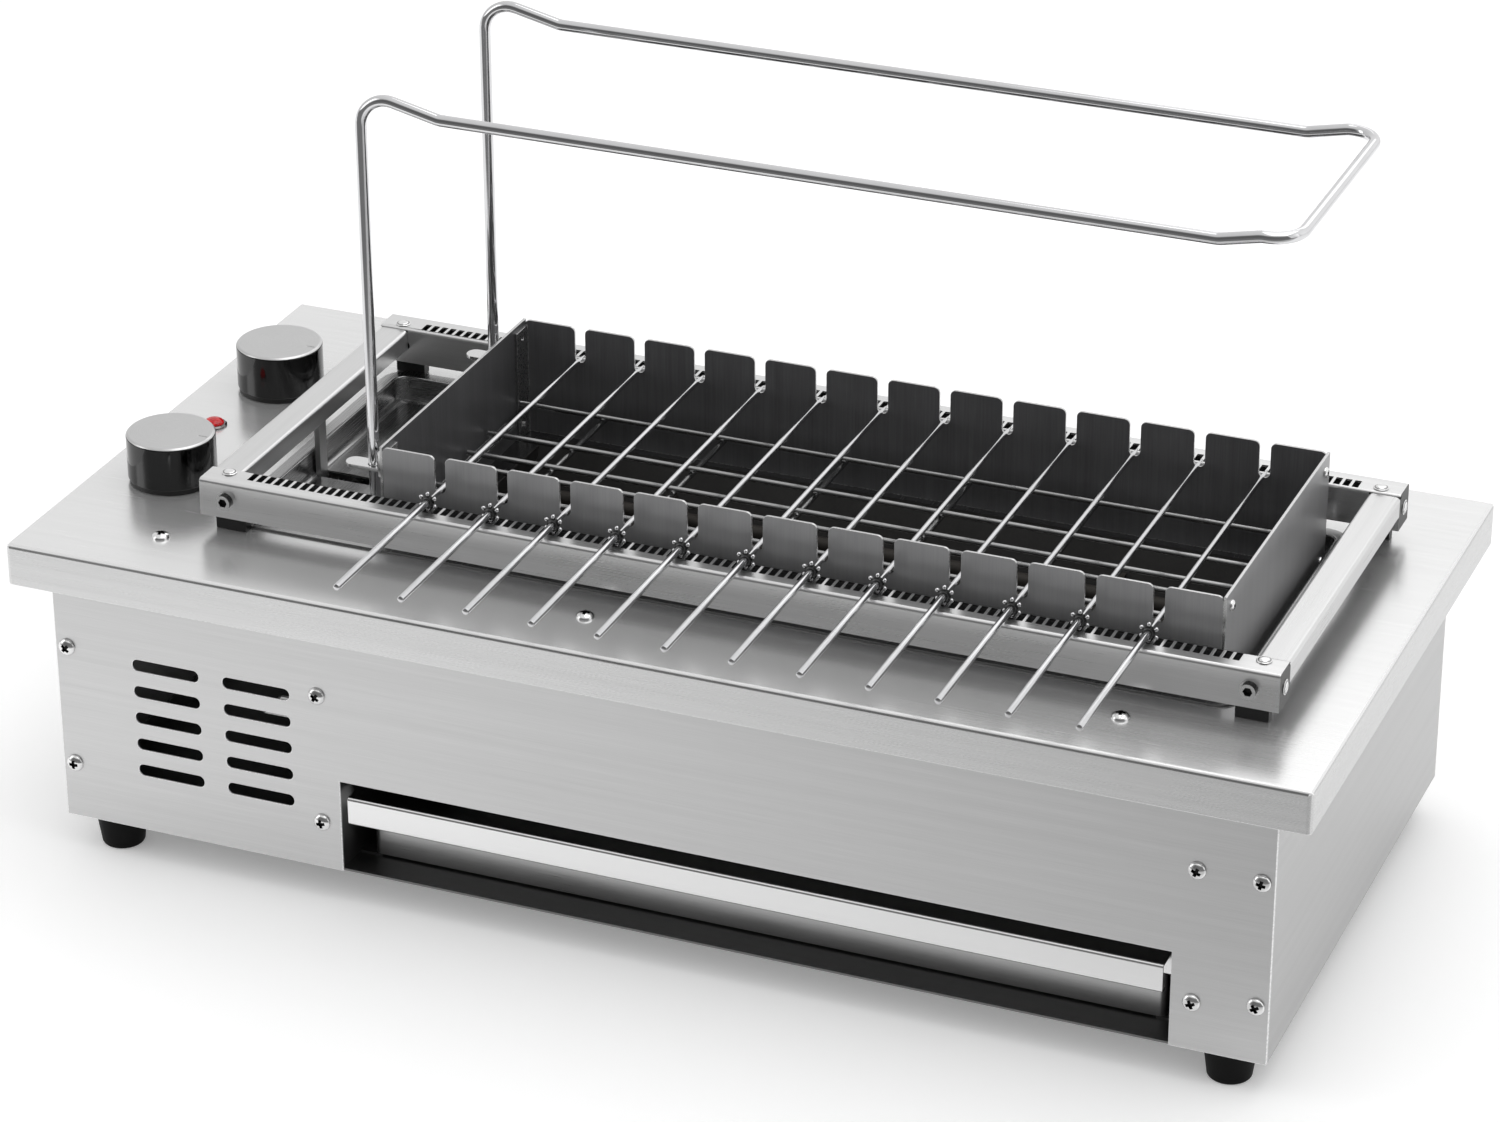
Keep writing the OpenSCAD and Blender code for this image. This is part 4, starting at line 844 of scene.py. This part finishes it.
def fastener_tree():
    """A head on every point, turned to face along the point's own direction."""
    tree = GrowTree("fasteners", Head="Object")
    head = tree.node("GeometryNodeObjectInfo", {"transform_space": "ORIGINAL"}, {
        "Object": tree.given["Head"]})
    facing = tree.node("GeometryNodeInputNamedAttribute", {"data_type": "FLOAT_VECTOR"}, {
        "Name": "facing"})
    spin = tree.node("GeometryNodeInputNamedAttribute", {"data_type": "FLOAT"}, {"Name": "spin"})
    own_turn = tree.node("ShaderNodeCombineXYZ", {}, {2: spin.outputs[0]})
    aimed = tree.node("FunctionNodeAlignEulerToVector", {"axis": "Z"}, {
        "Rotation": own_turn.outputs[0], "Vector": facing.outputs[0]})
    placed = tree.node("GeometryNodeInstanceOnPoints", {}, {
        "Points": tree.given["Geometry"], "Instance": head.outputs["Geometry"],
        "Rotation": aimed.outputs[0]})
    return tree.close(placed.outputs[0])


def gear_tree():
    """Pins round a hub: one pin on every point of a ring, pointing outwards."""
    tree = GrowTree("pin_gear", Pin="Object", Pins="Int", Ring="Float")
    ring = tree.node("GeometryNodeMeshCircle", {}, {
        "Vertices": tree.given["Pins"], "Radius": tree.given["Ring"]})
    place = tree.node("GeometryNodeInputPosition")
    aimed = tree.node("FunctionNodeAlignEulerToVector", {"axis": "Z"}, {
        "Vector": place.outputs[0]})
    pin = tree.node("GeometryNodeObjectInfo", {"transform_space": "ORIGINAL"}, {
        "Object": tree.given["Pin"]})
    placed = tree.node("GeometryNodeInstanceOnPoints", {}, {
        "Points": ring.outputs[0], "Instance": pin.outputs["Geometry"],
        "Rotation": aimed.outputs[0]})
    both = tree.node("GeometryNodeJoinGeometry")
    tree.tree.links.new(tree.given["Geometry"], both.inputs[0])
    tree.tree.links.new(placed.outputs[0], both.inputs[0])
    return tree.close(both.outputs[0])


def line_mesh(paths):
    """A mesh of edges only, one chain for each list of points."""
    mesh = bpy.data.meshes.new("paths")
    points, edges = [], []
    for path in paths:
        first = len(points)
        points += [tuple(p) for p in path]
        edges += [(first + i, first + i + 1) for i in range(len(path) - 1)]
    mesh.from_pydata(points, edges, [])
    return mesh


# The rack's rod slopes down from its bends, runs level, and steps up once before its far end
SLOPE, SLOPE_RUN = math.radians(13), 24 * MM
STEP, STEP_RUN = math.radians(12), 18 * MM


def rack_path(radius, bend):
    """The rack rod's corners, from the foot of one leg to the foot of the other."""
    low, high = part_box("wire_rack")
    legs = [(a + b) / 2 for a, b in lumps("rack_sockets")]
    front, rear = sorted(leg.y for leg in legs)
    far = high.x - radius
    # A bend cuts its corner off by its radius times the tangent of half its turn
    cut = bend * math.tan((math.pi / 2 + SLOPE) / 2)
    x, z = legs[0].x, high.z - radius - bend + cut
    corners = [Vector((x, 0, low.z)), Vector((x, 0, z))]
    slope = cut + SLOPE_RUN + bend * math.tan(SLOPE / 2)
    x += slope * math.cos(SLOPE)
    z -= slope * math.sin(SLOPE)
    corners.append(Vector((x, 0, z)))
    step = 2 * bend * math.tan(STEP / 2) + STEP_RUN
    x = far - bend - bend * math.tan(STEP / 2) - step * math.cos(STEP)
    corners.append(Vector((x, 0, z)))
    z += step * math.sin(STEP)
    corners.append(Vector((x + step * math.cos(STEP), 0, z)))
    corners.append(Vector((far, 0, z)))
    go = [Vector((c.x, front, c.z)) for c in corners]
    back = [Vector((c.x, rear, c.z)) for c in reversed(corners)]
    return go + back


def straight_runs(node):
    """The two ends of each straight wire of a node, and the wires' radius."""
    runs = []
    for low, high in lumps(node):
        size = high - low
        along = size[:].index(max(size))
        start, end = (low + high) / 2, (low + high) / 2
        start[along], end[along] = low[along], high[along]
        runs.append((start, end))
    return runs, min(size) / 2


# Each fastener is turned this much further than the last, in radians
SPIN_STEP = 2.399963


def placed_points(node, head_h, thin_axis):
    """Points at the seats of a node's fasteners, with the way that each head looks."""
    middle = (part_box("front_panel")[0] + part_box("rear_panel")[1]) / 2
    seats, ways = [], []
    for low, high in lumps(node):
        size = high - low
        axis = size[:].index((min if thin_axis else max)(size))
        centre = (low + high) / 2
        sign = 1.0 if centre[axis] > middle[axis] else -1.0
        seat = centre.copy()
        seat[axis] = (high if sign > 0 else low)[axis] - sign * head_h
        way = Vector((0, 0, 0))
        way[axis] = sign
        seats.append(seat)
        ways.append(way)
    mesh = bpy.data.meshes.new(node + "_places")
    mesh.from_pydata([tuple(s) for s in seats], [], [])
    mesh.attributes.new("facing", "FLOAT_VECTOR", "POINT")
    mesh.attributes.new("spin", "FLOAT", "POINT")
    for i, way in enumerate(ways):
        mesh.attributes["facing"].data[i].vector = way
        mesh.attributes["spin"].data[i].value = (i * SPIN_STEP) % (2 * math.pi)
    return mesh


# Shares of a head's height that its upright rim and its dome take
RIM, DOME = 0.12, 0.88
# The cutter of one stroke of the cross: its length in head radii, the height of its middle in
# head heights, and the share to which its lower end narrows
STROKE, STROKE_RISE, STROKE_TAPER = 1.3, 0.92, 0.6


def pan_head(radius, height, cross, shank_r, shank):
    """A domed head with a cross cut into it, darkened inside as painted shade, on a short shank.
    """
    steps = 8
    profile = [(0, -shank), (shank_r, -shank), (shank_r, 0), (radius, 0),
               (radius, height * RIM)]
    for i in range(1, steps + 1):
        turn = math.pi / 2 * i / steps
        profile.append((radius * math.cos(turn), height * (RIM + DOME * math.sin(turn))))
    profile[-1] = (0, height)
    dome = link("dome", lathe(profile, 32))
    cutters = []
    for turn in (0, math.pi / 2):
        shape = bmesh.new()
        bar = Matrix.Diagonal((radius * STROKE, cross, height, 1.0))
        bmesh.ops.create_cube(shape, size=1.0, matrix=Matrix.Rotation(turn, 4, "Z") @ bar)
        bmesh.ops.translate(shape, verts=shape.verts, vec=(0, 0, height * STROKE_RISE))
        for vert in shape.verts:
            if vert.co.z < height * STROKE_RISE:
                vert.co.x *= STROKE_TAPER
                vert.co.y *= STROKE_TAPER
        mesh = bpy.data.meshes.new("cross")
        shape.to_mesh(mesh)
        shape.free()
        cutters.append(link("cross", mesh))
    for cutter in cutters:
        cut = dome.modifiers.new("cut", "BOOLEAN")
        cut.operation = "DIFFERENCE"
        cut.solver = "EXACT"
        cut.object = cutter
    graph = bpy.context.evaluated_depsgraph_get()
    mesh = bpy.data.meshes.new_from_object(
        dome.evaluated_get(graph), preserve_all_data_layers=True, depsgraph=graph)
    for one in (dome, *cutters):
        bpy.data.objects.remove(one)
    shade_hollows(mesh, radius, height)
    return outward(mesh, 30.0)


def shade_hollows(mesh, radius, height):
    """Marks the faces that lie under the dome's own surface, in the cross, for painted shade."""
    if "painted_shade" in mesh.attributes:
        mesh.attributes.remove(mesh.attributes["painted_shade"])
    painted_shade = mesh.attributes.new("painted_shade", "FLOAT", "FACE")
    for i, face in enumerate(mesh.polygons):
        x, y, z = face.center
        out = min(1.0, math.hypot(x, y) / radius)
        dome = height * (RIM + DOME * math.sqrt(1 - out * out))
        painted_shade.data[i].value = float(0.05 * height < z < dome - 0.06 * height and out < 0.9)


def flat_head(radius, height, shank_r, shank):
    """A low round-headed rivet on a thin washer ring, with painted shade at its foot and in the
    groove round its dome.
    """
    return lathe([
        (0, -shank), (shank_r, -shank), (shank_r, 0), (radius, 0, 0.7), (radius, height * 0.4),
        (radius * 0.92, height * 0.55), (radius * 0.80, height * 0.5, 0.8),
        (radius * 0.74, height * 0.55, 0.8), (radius * 0.70, height * 0.75),
        (radius * 0.55, height * 0.93), (radius * 0.3, height), (0, height)], 32)


def fasten(name, node, tree, head, finish, head_h, thin_axis=False):
    """Grows a head on each of a node's fasteners, in place of the node."""
    head_object = link("head", head)
    mesh = tree.grow(placed_points(node, head_h, thin_axis), Head=head_object, Finish=finish)
    bpy.data.objects.remove(head_object)
    return settled(link(name, mesh), node)


class MakeRack(bpy.types.Operator):
    """Keep-warm rack of one bent rod, and the grate's wires"""
    bl_idname = "grill.rack"
    bl_label = "Rack and grate"

    def execute(self, context):
        look, rods = context.scene.grill_metal, context.scene.grill_rods
        tree = rod_tree()
        chrome = polished("rack_chrome", look.chrome, 0.05)
        rack = tree.grow(line_mesh([rack_path(rods.rod, rods.bend)]), Radius=rods.rod,
                         Bend=rods.bend, Sides=rods.sides, Finish=chrome)
        settled(link("keep_warm_rod", rack), "wire_rack")
        wires, radius = straight_runs("grate")
        wire = polished("wire_steel", (0.42, 0.42, 0.42), 0.2)
        grate = tree.grow(line_mesh(wires), Radius=radius, Bend=0.0, Sides=16, Finish=wire)
        settled(link("grate_wires", grate), "grate")
        return {"FINISHED"}


# A skewer's radii and lengths; its gear stands GEAR_IN from the end of its handle
GEAR_IN, POINT, HUB = 104.5 * MM, 12 * MM, 1.8 * MM
HANDLE_R, BLADE_R, HUB_R = 1.8 * MM, 1.5 * MM, 3.0 * MM
BALL_R, NECK_R = 1.15 * MM, 1.0 * MM


def skewer_rod(start, end):
    """Handle, hub and pointed blade, turned round Z with the hub's middle at zero; the hub and
    the rod beside it carry painted shade.
    """
    return lathe([
        (0, start), (HANDLE_R * 0.6, start), (HANDLE_R * 0.92, start + 0.4 * MM),
        (HANDLE_R, start + 1.2 * MM), (HANDLE_R, -HUB - 1.5 * MM),
        (HANDLE_R, -HUB, 0.9), (HUB_R * 0.8, -HUB, 0.9), (HUB_R, -HUB + 0.5 * MM, 1.0),
        (HUB_R, HUB - 0.5 * MM, 1.0), (HUB_R * 0.8, HUB, 1.0), (BLADE_R, HUB, 0.9),
        (BLADE_R, HUB + 2 * MM, 0.2), (BLADE_R, end - POINT),
        (BLADE_R * 0.25, end - 0.6 * MM), (0, end)], 20)


def gear_pin(ring):
    """A pin whose round end has its middle at zero, on a neck that reaches into the hub and
    carries painted shade.
    """
    steps = 7
    neck = math.acos(NECK_R / BALL_R)
    foot = -ring + 0.5 * HUB_R
    profile = [(0, foot, 1.0), (NECK_R, foot, 1.0),
               (NECK_R, -BALL_R * math.sin(neck) - 0.2 * MM, 0.95)]
    for i in range(steps + 1):
        turn = -neck + (math.pi / 2 + neck) * i / steps
        profile.append((BALL_R * math.cos(turn), BALL_R * math.sin(turn), 0.0))
    profile[-1] = (0, BALL_R)
    return lathe(profile, 14)


class MakeSkewers(bpy.types.Operator):
    """Twelve skewers, each with a gear of round-ended pins"""
    bl_idname = "grill.skewers"
    bl_label = "Skewers"

    def execute(self, context):
        rods = context.scene.grill_rods
        low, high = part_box(SKEWERS[0])
        ring = (high.z - low.z) / 2 - BALL_R
        gear = low.y + GEAR_IN
        pin = link("pin", gear_pin(ring))
        steel = polished("skewer_steel", (0.66, 0.66, 0.67), 0.12, shade_colour=(0.045, 0.045, 0.045))
        mesh = gear_tree().grow(skewer_rod(low.y - gear, high.y - gear), Pin=pin,
                                Pins=rods.pins, Ring=ring, Finish=steel)
        bpy.data.objects.remove(pin)
        # Made round Z with a pin on X; the skewer lies along Y with one pin straight down
        mesh.transform(Matrix.Rotation(math.radians(-90), 4, "X")
                       @ Matrix.Rotation(math.radians(90), 4, "Z"))
        for node in SKEWERS:
            box_low, box_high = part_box(node)
            place = (box_low + box_high) / 2
            copy = mesh.copy()
            copy.transform(Matrix.Translation((place.x, gear, place.z)))
            settled(link(node.replace("skewer", "spit") + "_rod", copy), node)
        bpy.data.meshes.remove(mesh)
        return {"FINISHED"}


# Cross-head screws: piece, node, head radius and height, share of the cross, shank radius
SCREWS = (
    ("panel_screw_heads", "panel_screws", 4.8 * MM, 3.0 * MM, 1.0, 2.0 * MM),
    ("top_screw_heads", "top_screws", 4.8 * MM, 3.0 * MM, 1.0, 2.0 * MM),
    ("box_screw_heads", "box_screws", 3.0 * MM, 2.0 * MM, 0.7, 1.5 * MM),
)
SCREW_SHANK = 4 * MM
RIVET_R, RIVET_H, RIVET_SHANK_R, RIVET_SHANK = 4.0 * MM, 4.0 / 3 * MM, 2.0 * MM, 1.5 * MM
# How far a bolt's socket and its head reach from its axis
SOCKET_REACH, HEAD_REACH = 2.9 * MM, 4.3 * MM


def bolt_face(node):
    """1 on the faces in a bolt's socket, 2 on the side of its head, 0 on the washer and rim; 1
    and 2 take painted shade.
    """
    bolts = [(low + high) / 2 for low, high in lumps(node)]

    def part(face, corners):
        bolt = min(bolts, key=lambda c: (c - face.center).length)
        reach = max(math.hypot(p.x - bolt.x, p.z - bolt.z) for p in corners)
        if reach < SOCKET_REACH:
            return 1
        return 2 if reach < HEAD_REACH and abs(face.normal.y) < 0.5 else 0

    return part


class MakeFasteners(bpy.types.Operator):
    """Cross-head screws, rivets and the bolts in the rails"""
    bl_idname = "grill.fasteners"
    bl_label = "Screws and rivets"

    def execute(self, context):
        rods = context.scene.grill_rods
        tree = fastener_tree()
        bright = polished("screw_steel", (0.82, 0.82, 0.82), 0.12, shade_colour=(0.02, 0.02, 0.02))
        for piece, node, radius, height, share, shank_r in SCREWS:
            head = pan_head(radius, height, rods.cross * share, shank_r, SCREW_SHANK)
            fasten(piece, node, tree, head, bright, height)
        rivet = flat_head(RIVET_R, RIVET_H, RIVET_SHANK_R, RIVET_SHANK)
        fasten("rivet_heads", "frame_rivets", tree, rivet, bright, RIVET_H, True)
        # The bolt's socket takes near-black and its head's side a dark grey, as painted shade on
        # the bright steel.
        hollow = moulded("bolt_socket_shade", (0.01, 0.01, 0.01), 0.4)
        side = cut_edge("bolt_side_shade", (0.10, 0.10, 0.10))
        dressed("glide_bolts", (bright, hollow, side), None, bolt_face("glide_bolts"))
        return {"FINISHED"}


class DressControls(bpy.types.Operator):
    """Knobs, lamp, feet, glides and the parts inside the control side"""
    bl_idname = "grill.controls"
    bl_label = "Controls"

    def execute(self, context):
        look = context.scene.grill_metal
        for node in ("front_knob", "rear_knob"):
            low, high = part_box(node)
            # The near-black side colour is a painted dark reflection on the same metal as the
            # top.
            cap = turned(node + "_steel", (0.58, 0.58, 0.58), (low + high) / 2, 0.30,
                         (0.06, 0.06, 0.06))
            dressed(node, cap, look.edge)
        # The glide blocks' black paints the shade under the frame's corners; the knob cores,
        # controls and gland are black plastic.
        black = moulded("black_plastic", (0.015, 0.015, 0.015), 0.4)
        for node in ("front_knob_core", "rear_knob_core", "speed_control", "thermostat",
                     "glide_blocks", "cable_gland"):
            dressed(node, black)
        dressed("feet", moulded("foot_rubber", (0.004, 0.004, 0.004), 0.55, gloss=0.1))
        dressed("terminal_block", moulded("terminal_plastic", (0.7, 0.65, 0.5), 0.5))
        dressed("lamp_lens", lens("lamp_red", (0.62, 0.004, 0.008)))
        dressed("lamp_bezel", polished("bezel_metal", (0.20, 0.19, 0.19), 0.15))
        return {"FINISHED"}


class GRILL_PT_looks(bpy.types.Panel):
    """Lists the operators and the settings that they read"""
    bl_label = "Skewer grill"
    bl_space_type = "VIEW_3D"
    bl_region_type = "UI"
    bl_category = "Grill"

    def draw(self, context):
        scene = context.scene
        for settings in (scene.grill_stage, scene.grill_metal, scene.grill_rods):
            for key in settings.bl_rna.properties.keys():
                if key not in ("rna_type", "name"):
                    self.layout.prop(settings, key)
        for operator in OPERATORS:
            self.layout.operator(operator.bl_idname)


OPERATORS = (MakeStage, DressCabinet, DressFrame, DressDrawer, DressBox, MakeRack, MakeSkewers,
             MakeFasteners, DressControls)
SETTINGS = {"grill_stage": StageSettings, "grill_metal": MetalSettings,
            "grill_rods": RodSettings}
CLASSES = (*SETTINGS.values(), *OPERATORS, GRILL_PT_looks)


def register():
    for one in CLASSES:
        bpy.utils.register_class(one)
    for name, group in SETTINGS.items():
        setattr(bpy.types.Scene, name, bpy.props.PointerProperty(type=group))


def unregister():
    for name in SETTINGS:
        delattr(bpy.types.Scene, name)
    for one in reversed(CLASSES):
        bpy.utils.unregister_class(one)


def main():
    register()
    for operator in OPERATORS:
        group, name = operator.bl_idname.split(".")
        getattr(getattr(bpy.ops, group), name)()


if __name__ == "__main__":
    main()
